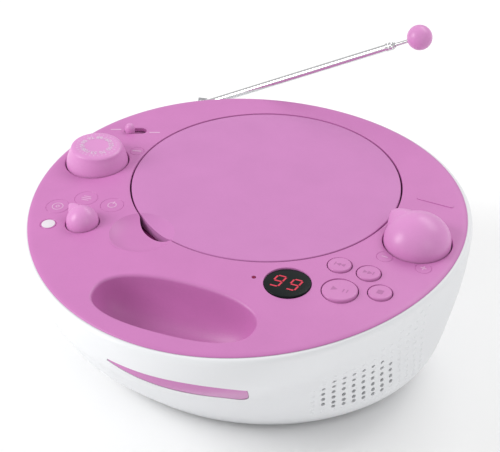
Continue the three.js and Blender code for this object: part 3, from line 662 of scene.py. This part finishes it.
DIAL = Vector((-117.5, 19.5))
FUNCTION = Vector((-93.5, -50))
VOLUME = Vector((115.8, 15.2))
DISPLAY = middle_of("display_lens")
LED = middle_of("indicator_led")
DIAL_RADIUS, FUNCTION_RADIUS, VOLUME_RADIUS = 21, 10.7, 22
DISPLAY_RADIUS, LED_RADIUS = 15.1, 1.3
BUTTONS = {"previous": 7.7, "next": 7.7, "play_pause": 11.5, "stop": 7.7}
BAND = Vector((-110, 63.6))
BAND_LENGTH, BAND_WIDTH, BAND_HEADING = 15.4, 7.6, 21
BAND_LABELS = [(-123.6, 60.5), (-96.8, 66.5)]
FUNCTION_MARKS = {"disc": (-118, -38.1), "wave": (-103.8, -24.1), "ring": (-83.6, -26.2)}
VOLUME_MARKS = {"minus": (102.6, -9.2), "plus": (129, -8.9)}
DIAL_INDEX = (-97.5, 40)
FUNCTION_INDEX = (-114.7, -57.8)
RIB = (110.8, 62.2)
RIB_LENGTH, RIB_WIDTH = 25.4, 2.6

cuts = [
    cup_hollow,
    on_deck(opening(DIAL_RADIUS + 0.7), *DIAL),
    on_deck(opening(FUNCTION_RADIUS + 0.6), *FUNCTION),
    on_deck(opening(VOLUME_RADIUS + 0.7), *VOLUME),
    on_deck(opening(DISPLAY_RADIUS + 0.25, 0.4), *DISPLAY.xy),
    on_deck(opening(LED_RADIUS + 0.15, 0.2, 24), *LED.xy),
    on_deck(pill(BAND_LENGTH, BAND_WIDTH, -9, 3, 32), *BAND, BAND_HEADING),
    on_deck(engraved_ring(4.8), *DIAL_INDEX),
    on_deck(engraved_ring(5.3, 1.0, 0.6), *FUNCTION_INDEX),
    *(on_deck(engraved_ring(7.8), *place) for place in FUNCTION_MARKS.values()),
]
for name, radius in BUTTONS.items():
    cuts.append(on_deck(opening(radius + 0.55, 0.25), *middle_of(f"{name}_button").xy))
deck = combined(deck, joined(*cuts))
deck = combined(deck, joined(*(on_deck(engraved_ring(5.3), *place) for place in VOLUME_MARKS.values())))
deck = combined(deck, dimple_bowl(0, DIMPLE_RADIUS + 3, 8))
deck = combined(deck, on_deck(pill(RIB_LENGTH, RIB_WIDTH, -0.5, 0.4), *RIB), "UNION")

# Finger notch between lid and deck, on the line from the lid's middle through the dimple
NOTCH_RADIUS, NOTCH_REACH, LID_CHORD = 30, 4.2, 2.1
notch_way = (DIMPLE - Vector((0, LID_Y))).normalized()
notch_middle = Vector((0, LID_Y)) + (LID_RADIUS + NOTCH_REACH - NOTCH_RADIUS) * notch_way
deck = combined(deck, moved(rod(NOTCH_RADIUS, 90, 125, 120), shifted(*notch_middle, 0)))

stippled_pink = moulded(
    "stippled_pink_abs", (0.575, 0.195, 0.475), roughness=0.42, pitch=1.05, depth=0.035, scatter=0.25,
    spread=0.14,
    shine=0.4
)
piece("control_deck", deck, "casing", "pink_textured", stippled_pink, "top_panel")

# Printed legends: thin pads of pale ink in the rings beside the controls
pale_ink = moulded("pale_ink", (0.70, 0.42, 0.63), roughness=0.5, pitch=0.4, depth=0.003)


def ink_ring(radius, width=0.6, steps=40):
    return spun([(radius - width / 2, 0.02), (radius + width / 2, 0.02), (radius + width / 2, 0.1),
                 (radius - width / 2, 0.1)], steps, closed=True)


def bar(length, width, x=0.0, y=0.0, turn=0.0, bottom=0.02, top=0.1):
    return moved(pill(length, width, bottom, top, 12), shifted(x, y), rotated(turn))


legends = [
    on_deck(joined(ink_ring(3.6), ink_ring(1.1)), *FUNCTION_MARKS["disc"]),
    on_deck(joined(bar(5.2, 0.7, 0, 2), bar(7.2, 0.7), bar(5.2, 0.7, 0, -2)), *FUNCTION_MARKS["wave"]),
    on_deck(joined(ink_ring(2.8), bar(3.4, 0.7, 0, 2.6, 90)), *FUNCTION_MARKS["ring"]),
    on_deck(bar(4.2, 0.7), *VOLUME_MARKS["minus"]),
    on_deck(
        joined(bar(4.2, 0.7), bar(1.6, 0.7, 0, 1.25, 90), bar(1.6, 0.7, 0, -1.25, 90)),
        *VOLUME_MARKS["plus"]
    ),
    *(on_deck(bar(7.5, 1.2, turn=BAND_HEADING), *place) for place in BAND_LABELS),
    on_deck(bar(6.5, 1.0, turn=12), *DIAL_INDEX),
]
piece("deck_legends", joined(*legends), "casing", "pink_satin", pale_ink)
white_ink = moulded("white_ink", (0.74, 0.70, 0.75), roughness=0.4, pitch=0.4, depth=0.003)
index_disc = spun([(0, 0.35), (4.0, 0.3), (4.4, 0.2), (4.5, 0.02), (0, 0.02)], 48)
piece("function_index", on_deck(index_disc, *FUNCTION_INDEX), "casing", "white_shell", white_ink)

# ---- Disc lid -----------------------------------------------------------------------------------
# A flat moulded disc with a turned-down skirt, flush with the deck, on two goosenecks that swing
# about a steel pin behind it. Its edge is cut straight at the finger notch.

LID_EDGE = LID_RADIUS - SEAM - 0.1
LID_SKIN = 2.4
SKIRT_FOOT = 104
HINGE = Vector((0, 136, 110.5))
HINGE_ARM, ARM_WIDTH, PIN_RADIUS = 14, 5, 1

lid_edge = [(LID_EDGE - 0.7 * (1 - math.sin(a)), LID_Z - 0.7 * (1 - math.cos(a))) for a in quarter(4)]
lid = spun(
    [(0, LID_Z), (40, LID_Z), (75, LID_Z), *lid_edge, (LID_EDGE, SKIRT_FOOT), (LID_EDGE - 2.2, SKIRT_FOOT),
     (LID_EDGE - 2.2, LID_Z - LID_SKIN), (40, LID_Z - LID_SKIN), (0, LID_Z - LID_SKIN)], 300)
moved(lid, shifted(0, LID_Y))
lid_disc = moved(rod(LID_EDGE, 90, 125, 300), shifted(0, LID_Y))
lid = combined(lid, combined(dimple_bowl(2.2, DIMPLE_RADIUS - 1, -1.4), lid_disc, "INTERSECT"), "UNION")
lid = combined(lid, dimple_bowl(0, DIMPLE_RADIUS + 3, 8))
notch_turn = Matrix.Rotation(math.atan2(notch_way.y, notch_way.x), 4, "Z")
past_chord = moved(block((LID_EDGE - LID_CHORD, -30, 90), (LID_EDGE + 10, 30, 125)),
                   shifted(0, LID_Y), notch_turn)
lid = combined(lid, past_chord)


def gooseneck(x):
    """One hinge arm: a bent bar from under the lid to its eye on the pin."""
    outline = [(2, 0), (2, -14.4), (-13.4, -14.4), (-13.4, 1), (-10.6, 1), (-10.6, -11.4), (-2, -11.4)]
    eye = [(2 * math.cos(math.pi * (1 - i / 12)), 2 * math.sin(math.pi * (1 - i / 12))) for i in range(12)]
    bm = bmesh.new()
    bm.faces.new([bm.verts.new((0, y, z)) for y, z in outline + eye])
    bore = moved(rod(PIN_RADIUS + 0.08, -5, 20, 32), rotated(90, "Y"))
    place = Matrix.Translation(HINGE + Vector((x - ARM_WIDTH / 2, 0, 0)))
    return moved(combined(raised(bm, ARM_WIDTH, 0, 0), bore), place)


for side in (-1, 1):
    lid = combined(lid, gooseneck(side * HINGE_ARM), "UNION")
lid_pink = moulded(
    "lid_pink_abs", (0.57, 0.215, 0.49), roughness=0.44, pitch=0.6, depth=0.01, spread=0.1, shine=0.3
)
piece("disc_lid", lid, "lid", "pink_textured", lid_pink, "cd_lid")

# ---- Inside of the lid --------------------------------------------------------------------------
# A white plate with a round housing, whose lip keeps the black clamping puck under the lid.

HUB = shifted(0, LID_Y)
inner_plate = spun(
    [(0, 111.6), (71.4, 111.6), (72, 111.2), (72, 110.6), (71.4, 110.2), (60, 110.2), (59, 110.6),
     (57.6, 110.6),
     (56.6, 110.2), (18.9, 110.2), (18.4, 109.7), (18.4, 106.8), (18, 106.4), (13.3, 106.4), (13, 106.7),
     (13, 107.2), (16.5, 107.2), (16.5, 110.2), (0, 110.2)], 120)
piece("lid_lining", moved(inner_plate, HUB), "lid", "white_shell", gloss_white, "lid_inner_plate")
dark_plastic = moulded("dark_moulded_plastic", (0.035, 0.035, 0.04), roughness=0.5, pitch=0.7, depth=0.02)
puck = spun(
    [(0, 109.6), (15.6, 109.6), (16, 109.2), (16, 108), (15.6, 107.6), (12.6, 107.6), (12.6, 105.5),
     (12.2, 105.1),
     (8.8, 105.1), (8.4, 105.5), (8.4, 106.4), (3, 106.4), (2.4, 105.9), (0, 105.9)], 72)
piece("clamping_puck", moved(puck, HUB), "clamper", "dark_plastic", dark_plastic, "disc_clamper")

# ---- Disc well and mechanism --------------------------------------------------------------------
# A pink tray with a slot for the pickup, its pink darkened to paint the shade seen in the gaps round the lid,
# over a dark plate that carries the two motors, the guide rods, the lead screw and the sled with its lens.
# The spindle's cone centres the disc.

CLEARANCE = 0.3
well = spun(
    [(16, 97.6), (64, 97.6), (66.5, 101), (95, 101), (95, 102.8), (64.9, 102.8), (64.4, 102.4), (62.8, 100),
     (62.2, 99.6), (40, 99.6), (16.4, 99.6), (16, 99.2)], 180, closed=True)
moved(well, HUB)
pickup_slot = moved(pill(62, 26, 90, 110, 48), shifted(35, LID_Y))
cup_space = spun_and_placed(
    [(0, 0, -8, True), (1, WALL + 1, -8, True)] + bowl_rows(WALL + 1), 72, cup_point
)
well = combined(well, pickup_slot)
well = combined(well, block((-24, 112, 90), (24, 150, 112)))
well = combined(well, cup_space)
# The tray is a darker pink than the deck: painted shade, so the gaps round the lid and the notch read deep
# magenta
tray_pink_painted_gap_shade = moulded("pink_abs_painted_gap_shade", (0.40, 0.055, 0.26), roughness=0.5, pitch=0.6, depth=0.01, shine=0.15)
piece("disc_tray", well, "casing", "pink_satin", tray_pink_painted_gap_shade, "disc_well")

turntable = spun(
    [(0, 105.2), (4.6, 105.2), (5.6, 104.9), (7.4, 104.2), (7.4, 103.6), (9, 103.6), (9.4, 103.4),
     (12.6, 103.4),
     (13, 103.6), (13.7, 103.6), (14, 103.3), (14, 102.2), (13.7, 101.9), (4, 101.9), (4, 99.6),
     (1, 99.6), (1, 91),
     (0, 91)], 72)
piece("spindle_cone", moved(turntable, HUB), "spindle", "dark_plastic", dark_plastic, "turntable")

lens = spun(
    [(0, 101.2), *[(3.2 * math.sin(a), 100.4 + 0.8 * math.cos(a)) for a in quarter(6)[1:]], (4, 100.2),
     (6.2, 99.9),
     (6.5, 99.6), (6.5, 95.3), (0, 95.3)], 48)
blue_lens = moulded(
    "coated_lens", (0.03, 0.05, 0.14), roughness=0.08, pitch=2, depth=0.001, spread=0.04, coat=1.0
)
moved(lens, shifted(24, LID_Y))
piece("pickup_optic", lens, "sled", "clear_lens", blue_lens, "pickup_lens")

# Kept CAD pieces of the mechanism and the electrics, each in its own metal, board or resin
plain_steel = moulded("zinc_plated_steel", (0.55, 0.55, 0.57), roughness=0.32, pitch=1.5, depth=0.006,
                      metal=1.0,
                      spread=0.2, darker=0.85)
board_green = moulded(
    "green_circuit_board", (0.04, 0.15, 0.065), roughness=0.38, pitch=1.2, depth=0.02, darker=0.7
)
black_rubber = moulded("matt_black_rubber", (0.03, 0.03, 0.032), roughness=0.8, pitch=0.8, depth=0.03)
cone_paper = moulded(
    "black_cone_paper", (0.028, 0.028, 0.03), roughness=0.85, pitch=0.9, depth=0.08, scatter=1.0
)
kept_nodes = {
    plain_steel: ["hinge_bracket", "hinge_pin", "lid_spring", "spindle_motor", "guide_rod_front",
                  "guide_rod_rear",
                  "lead_screw", "sled_motor", "volume_control", "band_switch", "battery_contact_plus",
                  "battery_contact_minus", "transformer", "speaker_frame_right", "speaker_frame_left"],
    dark_plastic: ["mechanism_chassis", "pickup_sled", "function_switch", "display_module"],
    board_green: ["key_board", "main_board"],
    black_rubber: ["chassis_damper_1", "chassis_damper_2", "chassis_damper_3"],
    cone_paper: ["speaker_cone_right", "speaker_cone_left"],
    gloss_white: ["tuning_capacitor", "battery_box"],
}
for material, names in kept_nodes.items():
    for name in names:
        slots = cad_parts[name].data.materials
        slots.clear()
        slots.append(material)

# ---- Tuning dial --------------------------------------------------------------------------------
# A satin pink knob with a flat top and a rounded shoulder, on which a ring of ticks and numbers is printed.

DIAL_HEIGHT = 12.6
DIAL_TOP = 14.3
dial_level = deck_height(*DIAL)
top_edge = [(DIAL_TOP + 3.3 * math.sin(a), DIAL_HEIGHT - 2 * (1 - math.cos(a))) for a in quarter(8)]
DIAL_SIDE = [(18.6, 8.4), (19.4, 6.4), (20.1, 4.2), (20.6, 2.4), (20.9, 1)]
dial = spun(
    [(0, DIAL_HEIGHT - 0.15), (8, DIAL_HEIGHT - 0.12), *top_edge, *DIAL_SIDE, (DIAL_RADIUS, 0),
     (DIAL_RADIUS, -5), (18.6, -5), (18.6, -2),
     (4, -2), (4, -9), (0, -9)], 144)
dial_place = shifted(*DIAL, dial_level)
knob_pink = moulded(
    "knob_pink_abs", (0.68, 0.275, 0.58), roughness=0.34, pitch=0.5, depth=0.004, spread=0.08, shine=0.4
)
piece("tuning_knob", moved(dial, dial_place), "dial", "pink_satin", knob_pink, "tuning_dial")

number_font = bpy.data.curves.new("numbers", "FONT")


def number(text, size, thickness=0.06):
    """A printed number as a thin solid, centred on the origin."""
    number_font.body = text
    number_font.size = size
    number_font.extrude = thickness / 2
    number_font.offset = 0.1
    number_font.align_x = "CENTER"
    number_font.align_y = "CENTER"
    number_font.resolution_u = 3
    thing = bpy.data.objects.new("number", number_font)
    scene.collection.objects.link(thing)
    mesh = bpy.data.meshes.new_from_object(thing.evaluated_get(bpy.context.evaluated_depsgraph_get()))
    bpy.data.objects.remove(thing)
    bm = bmesh.new()
    bm.from_mesh(mesh)
    bpy.data.meshes.remove(mesh)
    bmesh.ops.remove_doubles(bm, verts=bm.verts, dist=1e-5)
    return bm


scale_marks = []
DIAL_NUMBERS = ["88", "92", "98", "104", "108", "53", "70", "90", "120", "160"]
for i, text in enumerate(DIAL_NUMBERS):
    turn = rotated(15 + 360 * i / len(DIAL_NUMBERS))
    up = shifted(0, 0, DIAL_HEIGHT)
    scale_marks.append(moved(number(text, 4.6), up, turn, shifted(0, 9.6)))
for i in range(30):
    turn = rotated(12 * i)
    long = i % 3 == 0
    tick = pill(1.7 if long else 1.1, 0.55, DIAL_HEIGHT - 0.06, DIAL_HEIGHT + 0.02, 8)
    scale_marks.append(moved(tick, turn, shifted(13.3, 0)))
dial_ink = moulded("pale_dial_ink", (0.70, 0.50, 0.67), roughness=0.5, pitch=0.4, depth=0.003)
piece("tuning_scale", moved(joined(*scale_marks), dial_place), "dial", "pink_satin", dial_ink)

# ---- Function and volume knobs ------------------------------------------------------------------
# Domed satin pink knobs. Each one's side is drawn out into a small beak that shows where it points.


def beaked_knob(radius, height, beak, beak_height, heading, skirt, fullness):
    """A domed knob whose side is drawn out to the beak's reach in the heading given."""
    rows = [(radius * math.cos(a) ** fullness, 1 + (height - 1) * math.sin(a)) for a in reversed(quarter(30))]
    rows[0] = (0, height)
    edge = [(radius, 0), (radius, -skirt), (radius - 2.2, -skirt), (radius - 2.2, -2), (radius * 0.22, -2),
            (radius * 0.22, -skirt - 4), (0, -skirt - 4)]
    bm = spun(rows + edge, 180)
    point_at = math.radians(heading)
    for vert in bm.verts:
        z = vert.co.z
        r = math.hypot(vert.co.x, vert.co.y)
        if z < 0.5 or r < 0.2 * radius:
            continue
        angle = math.atan2(vert.co.y, vert.co.x)
        off = abs((angle - point_at + math.pi) % (2 * math.pi) - math.pi)
        away_from_tip = math.hypot(off / math.radians(31), (z - beak_height) / (0.42 * height))
        if away_from_tip < 1:
            pull = (beak - r) * (1 - away_from_tip) ** 0.8
            vert.co.x += pull * math.cos(point_at)
            vert.co.y += pull * math.sin(point_at)
    return bm


volume_level = deck_height(*VOLUME)
volume = beaked_knob(VOLUME_RADIUS, 20, 27.4, 9.5, 149, 5, 1.08)
piece("volume_dome", moved(volume, shifted(*VOLUME, volume_level)), "volume", "pink_satin", knob_pink,
      "volume_knob", sharp=40)
function_level = deck_height(*FUNCTION)
function = beaked_knob(FUNCTION_RADIUS, 12, 15.8, 6.2, 150, 4, 1.1)
piece("function_dome", moved(function, shifted(*FUNCTION, function_level)), "function", "pink_satin",
      knob_pink, "function_knob", sharp=40)

# ---- Band switch --------------------------------------------------------------------------------
# A round-headed pink stud on a slide under the deck, in a rounded slot.

band_travel = BAND_LENGTH - BAND_WIDTH
stud = spun(
    [(0, 6), *[(3.5 * math.sin(a), 1.6 + 4.4 * math.cos(a)) for a in quarter(10)[1:]], (3.4, -0.6),
     (2.6, -1.6),
     (2.6, -3.6), (0, -3.6)], 48)
moved(stud, shifted(-band_travel / 2, 0))
band = combined(stud, pill(24, 11, -4.2, -3, 32), "UNION")
moved(band, shifted(*BAND, deck_height(*BAND) - 0.2), rotated(BAND_HEADING))
piece("band_stud", band, "band", "pink_satin", knob_pink, "band_slide")

# ---- Playback buttons ---------------------------------------------------------------------------
# Four round pink buttons with a soft edge and a slightly dished top, each with a symbol laid on as a thin
# darker pink mark: painted shade of a sunk symbol.

BUTTON_RISE = 1.0
BOARD_TOP = 101.4
SYMBOL_HEIGHT = 0.08
# Darker pink for the symbols: painted shade standing in for the shade inside an engraving
painted_engraving_pink = moulded("painted_engraving_shade_pink", (0.44, 0.15, 0.36), roughness=0.5, pitch=0.4, depth=0.003)


def wedge(size, x=0.0, heading=0.0):
    """A flat three-sided arrowhead."""
    bm = bmesh.new()
    bmesh.ops.create_circle(bm, cap_ends=True, radius=size, segments=3)
    return moved(raised(bm, 0, 0, SYMBOL_HEIGHT), shifted(x, 0), rotated(heading))


def upright(x):
    return moved(pill(3.6, 0.9, 0, SYMBOL_HEIGHT, 8), shifted(x, 0), rotated(90))


SYMBOLS = {
    "previous": lambda: joined(wedge(1.9, -0.4, 90), wedge(1.9, 2.7, 90), upright(-3.1)),
    "next": lambda: joined(wedge(1.9, 0.4, -90), wedge(1.9, -2.7, -90), upright(3.1)),
    "play_pause": lambda: joined(wedge(2.6, -4.2, -90), upright(2.4), upright(5)),
    "stop": lambda: block((-2, -2, 0), (2, 2, SYMBOL_HEIGHT)),
}
BUTTON_BODIES = {"previous": "previous", "next": "next", "play_pause": "play", "stop": "stop"}
for name, radius in BUTTONS.items():
    place = middle_of(f"{name}_button")
    top = deck_height(place.x, place.y) + BUTTON_RISE
    rim = [(radius - 1.1 * (1 - math.sin(a)), top - 1.1 * (1 - math.cos(a))) for a in quarter(6)]
    dish = 0.25
    button = spun(
        [(0, top - dish), (radius * 0.35, top - dish * 0.87), (radius * 0.6, top - dish * 0.6), *rim,
         (radius, top - 6.5), (3, top - 6.5), (3, BOARD_TOP + 1.7), (0, BOARD_TOP + 1.7)], 72)
    body = BUTTON_BODIES[name]
    moved(button, shifted(place.x, place.y))
    piece(f"{name}_cap", button, body, "pink_satin", satin_pink, f"{name}_button")
    symbol = moved(SYMBOLS[name](), shifted(place.x, place.y, top - dish + 0.02))
    piece(f"{name}_symbol", symbol, body, "pink_satin", painted_engraving_pink)

# ---- Display ------------------------------------------------------------------------------------
# A round window of smoked acrylic let into the deck, with a two-digit red segment display
# behind it, and a tiny red lamp at its left.

smoked = moulded(
    "smoked_acrylic", (0.007, 0.011, 0.011), roughness=0.3, pitch=8, depth=0.004, spread=0.05, shine=0.12
)
display_level = deck_height(*DISPLAY.xy)
window = spun(
    [(0, 0.1), (8, 0.08), (14.6, 0), *[(DISPLAY_RADIUS - 0.5 * (1 - math.sin(a)), -0.5 * (1 - math.cos(a)))
                                       for a in quarter(4)], (DISPLAY_RADIUS, -2.2), (0, -2.2)], 96)
display_place = shifted(*DISPLAY.xy, display_level)
piece("display_window", moved(window, display_place), "casing", "black_gloss", smoked, "display_lens")

glowing_red = bpy.data.materials.new("lit_red_segment")
glowing_red.use_nodes = True
glow_tree = glowing_red.node_tree
glow_surface = glow_tree.nodes["Principled BSDF"]
glow_noise = node(glow_tree, "ShaderNodeTexNoise", {"Scale": 700})
glow_colour = node(glow_tree, "ShaderNodeMix", {"A": (0.48, 0.02, 0.05, 1), "B": (0.34, 0.01, 0.03, 1)},
                   data_type="RGBA")
glow_tree.links.new(node(glow_tree, "ShaderNodeTexCoord").outputs["Object"], glow_noise.inputs["Vector"])
glow_tree.links.new(glow_noise.outputs["Fac"], glow_colour.inputs["Factor"])
glow_tree.links.new(glow_colour.outputs["Result"], glow_surface.inputs["Emission Color"])
glow_tree.links.new(glow_colour.outputs["Result"], glow_surface.inputs["Base Color"])
glow_surface.inputs["Emission Strength"].default_value = 0.7

DIGIT_HEIGHT, DIGIT_WIDTH, DIGIT_SLANT, SEGMENT = 11.5, 5.8, 0.12, 1.15
LIT_FOR_NINE = ["top", "upper_left", "upper_right", "middle", "lower_right", "bottom"]


def segment(x, y, length, upright_bar):
    """One six-sided bar of a digit."""
    bm = bmesh.new()
    bmesh.ops.create_circle(bm, cap_ends=True, radius=1, segments=6)
    for vert in bm.verts:
        tip = abs(vert.co.y) < 0.1
        vert.co.x = math.copysign(length / 2 if tip else length / 2 - SEGMENT / 2, vert.co.x)
        vert.co.y = 0 if tip else math.copysign(SEGMENT / 2, vert.co.y)
        vert.co.z = 0.12
    return moved(raised(bm, 0, 0, 0.05), shifted(x, y), rotated(90 if upright_bar else 0))


half, side, leg = DIGIT_HEIGHT / 2, DIGIT_WIDTH / 2, DIGIT_HEIGHT / 4
BARS = {
    "top": (0, half, DIGIT_WIDTH, False), "middle": (0, 0, DIGIT_WIDTH, False),
    "bottom": (0, -half, DIGIT_WIDTH, False),
    "upper_left": (-side, leg, half, True), "upper_right": (side, leg, half, True),
    "lower_left": (-side, -leg, half, True), "lower_right": (side, -leg, half, True),
}
digits = []
for x in (-6.1, 5.1):
    digits.extend(moved(segment(*BARS[name]), shifted(x, -0.6)) for name in LIT_FOR_NINE)
digits = joined(*digits)
for vert in digits.verts:
    vert.co.x += DIGIT_SLANT * vert.co.y
piece("display_digits", moved(digits, display_place), "casing", "red_lens", glowing_red)

lamp = spun([(0, 0.3), (0.6, 0.25), (1.1, 0.05), (LED_RADIUS, -0.3), (LED_RADIUS, -6), (0, -6)], 32)
lamp_red = moulded("red_lamp", (0.24, 0.006, 0.06), roughness=0.35, pitch=2, depth=0.002, shine=0.2)
piece("standby_lamp", moved(lamp, shifted(*LED.xy, deck_height(*LED.xy))), "casing", "red_lens", lamp_red,
      "indicator_led")

# ---- Aerial -------------------------------------------------------------------------------------
# Three plated brass tubes that slide in each other, on a swivel behind the rim, with a pink
# ball on the end. The tube ends are rolled in to a collar.

AERIAL = Vector((-93, 136, 98.9))
AERIAL_TURN, AERIAL_RISE = 12, 25.3
COLLAR, BALL, BALL_RADIUS = 151, 171, 8.85
swivel_place = Matrix.Translation(AERIAL) @ rotated(AERIAL_TURN)
mast_place = swivel_place @ rotated(-AERIAL_RISE, "Y")
along_mast = mast_place @ rotated(90, "Y")
across_mast = rotated(90, "X")

chrome = moulded("plated_tube", (0.80, 0.80, 0.81), roughness=0.1, pitch=3, depth=0.001, metal=1.0,
                 spread=0.1,
                 darker=0.96)
lower_tube = spun(
    [(0, 2.4), (1.9, 2.4), (2.2, 3), (2.6, 5), (2.6, COLLAR - 6), (2.75, COLLAR - 5.6), (3, COLLAR - 5.2),
     (3, COLLAR - 3.2), (2.8, COLLAR - 2.9), (2.8, COLLAR - 2.4), (3, COLLAR - 2.1), (3, COLLAR - 0.6),
     (2.6, COLLAR), (2.3, COLLAR), (2.3, 10), (0, 10)], 48)
moved(lower_tube, along_mast)
eye = combined(moved(rod(3.5, -2, 2, 48, 0.4), across_mast), moved(rod(1.28, -3, 3, 32), across_mast))
piece("aerial_lower_section", joined(lower_tube, moved(eye, mast_place)), "mast", "chrome", chrome,
      "aerial_lower_tube")
middle_tube = spun(
    [(1.6, 11), (2, 11), (2, COLLAR + 0.9), (1.85, COLLAR + 1.6), (1.6, COLLAR + 1.6)], 40, closed=True)
piece(
    "aerial_middle_section", moved(middle_tube, along_mast), "middle", "chrome", chrome,
    "aerial_middle_tube"
)
whip = spun([(0, 12), (1.3, 12), (1.3, BALL - 4.3), (1, BALL - 4), (0, BALL - 4)], 32)
piece("aerial_whip", moved(whip, along_mast), "whip", "chrome", chrome, "aerial_rod")

ball = bmesh.new()
bmesh.ops.create_uvsphere(
    ball, u_segments=64, v_segments=40, radius=BALL_RADIUS, matrix=shifted(0, 0, BALL)
)
ball_bore = spun([(0, BALL - 12), (2.2, BALL - 12), (2.2, BALL - 8.7), (1.6, BALL - 8.2), (1.6, BALL - 3.6),
                  (0, BALL - 3.6)], 32)
piece(
    "aerial_ball", moved(combined(ball, ball_bore), along_mast), "whip", "pink_satin", knob_pink,
    "aerial_tip"
)

swivel_base = rod(6.4, -6.5, -4, 64, 0.5)
swivel_stem = rod(3, -12, -6, 40, 0.3)
swivel = combined(swivel_base, swivel_stem, "UNION")
for near, far in ((2.3, 4.4), (-4.4, -2.3)):
    swivel = combined(swivel, block((-3.4, near, -4.6), (3.4, far, 3.6), 0.6), "UNION")
pin = moved(
    joined(rod(1.2, -4.2, 4.2, 32), rod(1.9, 4.4, 4.9, 32, 0.2), rod(1.9, -4.9, -4.4, 32, 0.2)),
    across_mast
)
piece(
    "aerial_fork", moved(joined(swivel, pin), swivel_place), "swivel", "steel", plain_steel,
    "aerial_swivel"
)

outward = math.atan2(AERIAL.y, AERIAL.x)
lug = moved(block((-34, -9, -19), (8.5, 9, -6.8), 2.0, 5), Matrix.Translation(AERIAL),
            Matrix.Rotation(outward, 4, "Z"))
casing_solid = spun_and_placed(
    [(BASE, 0, 0)] + [(height, inset - CLEARANCE, reach) for height, inset, reach in OUTER_ROWS[3:]]
    + [(LIP, 0, 0)], 120, casing_point)
lug = combined(lug, casing_solid)
lug = combined(lug, moved(rod(3.1, -14, 0, 48), Matrix.Translation(AERIAL)))
piece("aerial_lug", lug, "casing", "white_shell", gloss_white, "aerial_bracket")

# ---- Underside and back -------------------------------------------------------------------------
# A white battery door with a ribbed thumb pad, four rubber feet, the mains inlet with its two
# pins and the headphone socket.

door_low = Vector((-DOOR_LENGTH / 2, BATTERY_Y - DOOR_WIDTH / 2, BASE))
door_high = Vector((DOOR_LENGTH / 2, BATTERY_Y + DOOR_WIDTH / 2, BASE + 2.4))
door = block(door_low, door_high, 0.4)
grip_ribs = [block((-14, door_low.y + 5 + 2.2 * i, BASE - 1),
                   (14, door_low.y + 6.1 + 2.2 * i, BASE + 0.6), 0.2)
             for i in range(6)]
door = combined(door, joined(*grip_ribs))
piece("battery_cover", door, "door", "white_shell", gloss_white, "battery_door")

FOOT_HEIGHT = BASE - CLEARANCE
for i in range(1, 5):
    place = middle_of(f"foot_{i}")
    sole = [(8.5 - 1.2 * (1 - math.sin(a)), 0.8 * (1 - math.cos(a))) for a in quarter(5)]
    foot = spun([(0, 0.25), (4.6, 0.25), (5, 0), *sole, (8.5, FOOT_HEIGHT), (0, FOOT_HEIGHT)], 64)
    piece(f"rubber_foot_{i}", moved(foot, shifted(place.x, place.y)), "casing", "black_rubber",
          black_rubber, f"foot_{i}")

half_inlet = INLET_SIZE / 2
inlet = block((-half_inlet.x, -INLET_SIZE.y, -half_inlet.z), (half_inlet.x, 0, half_inlet.z), 0.6)
socket_hole = moved(pill(15, 8, -2, INLET_SIZE.y - 4, 40), rotated(90, "X"))
inlet = combined(inlet, socket_hole)
pins = [moved(rod(1.2, 3.5, 12.5, 24, 0.5), shifted(x, 0), rotated(90, "X"))
        for x in (-3.6, 3.6)]
inlet_place = Matrix.Translation(INLET)
piece("mains_inlet", moved(inlet, inlet_place), "casing", "dark_plastic", dark_plastic, "ac_inlet")
piece("mains_pins", moved(joined(*pins), inlet_place), "casing", "steel", plain_steel)

jack_turn = Matrix.Translation(JACK) @ rotated(-90, "X")
jack = spun(
    [(1.8, 0), (JACK_RADIUS - 0.5, 0), (JACK_RADIUS, -0.5), (JACK_RADIUS, -14), (0, -14), (0, -12),
     (1.8, -12)],
    64,
    closed=True)
piece("phones_socket", moved(jack, jack_turn), "casing", "dark_plastic", dark_plastic, "headphone_jack")
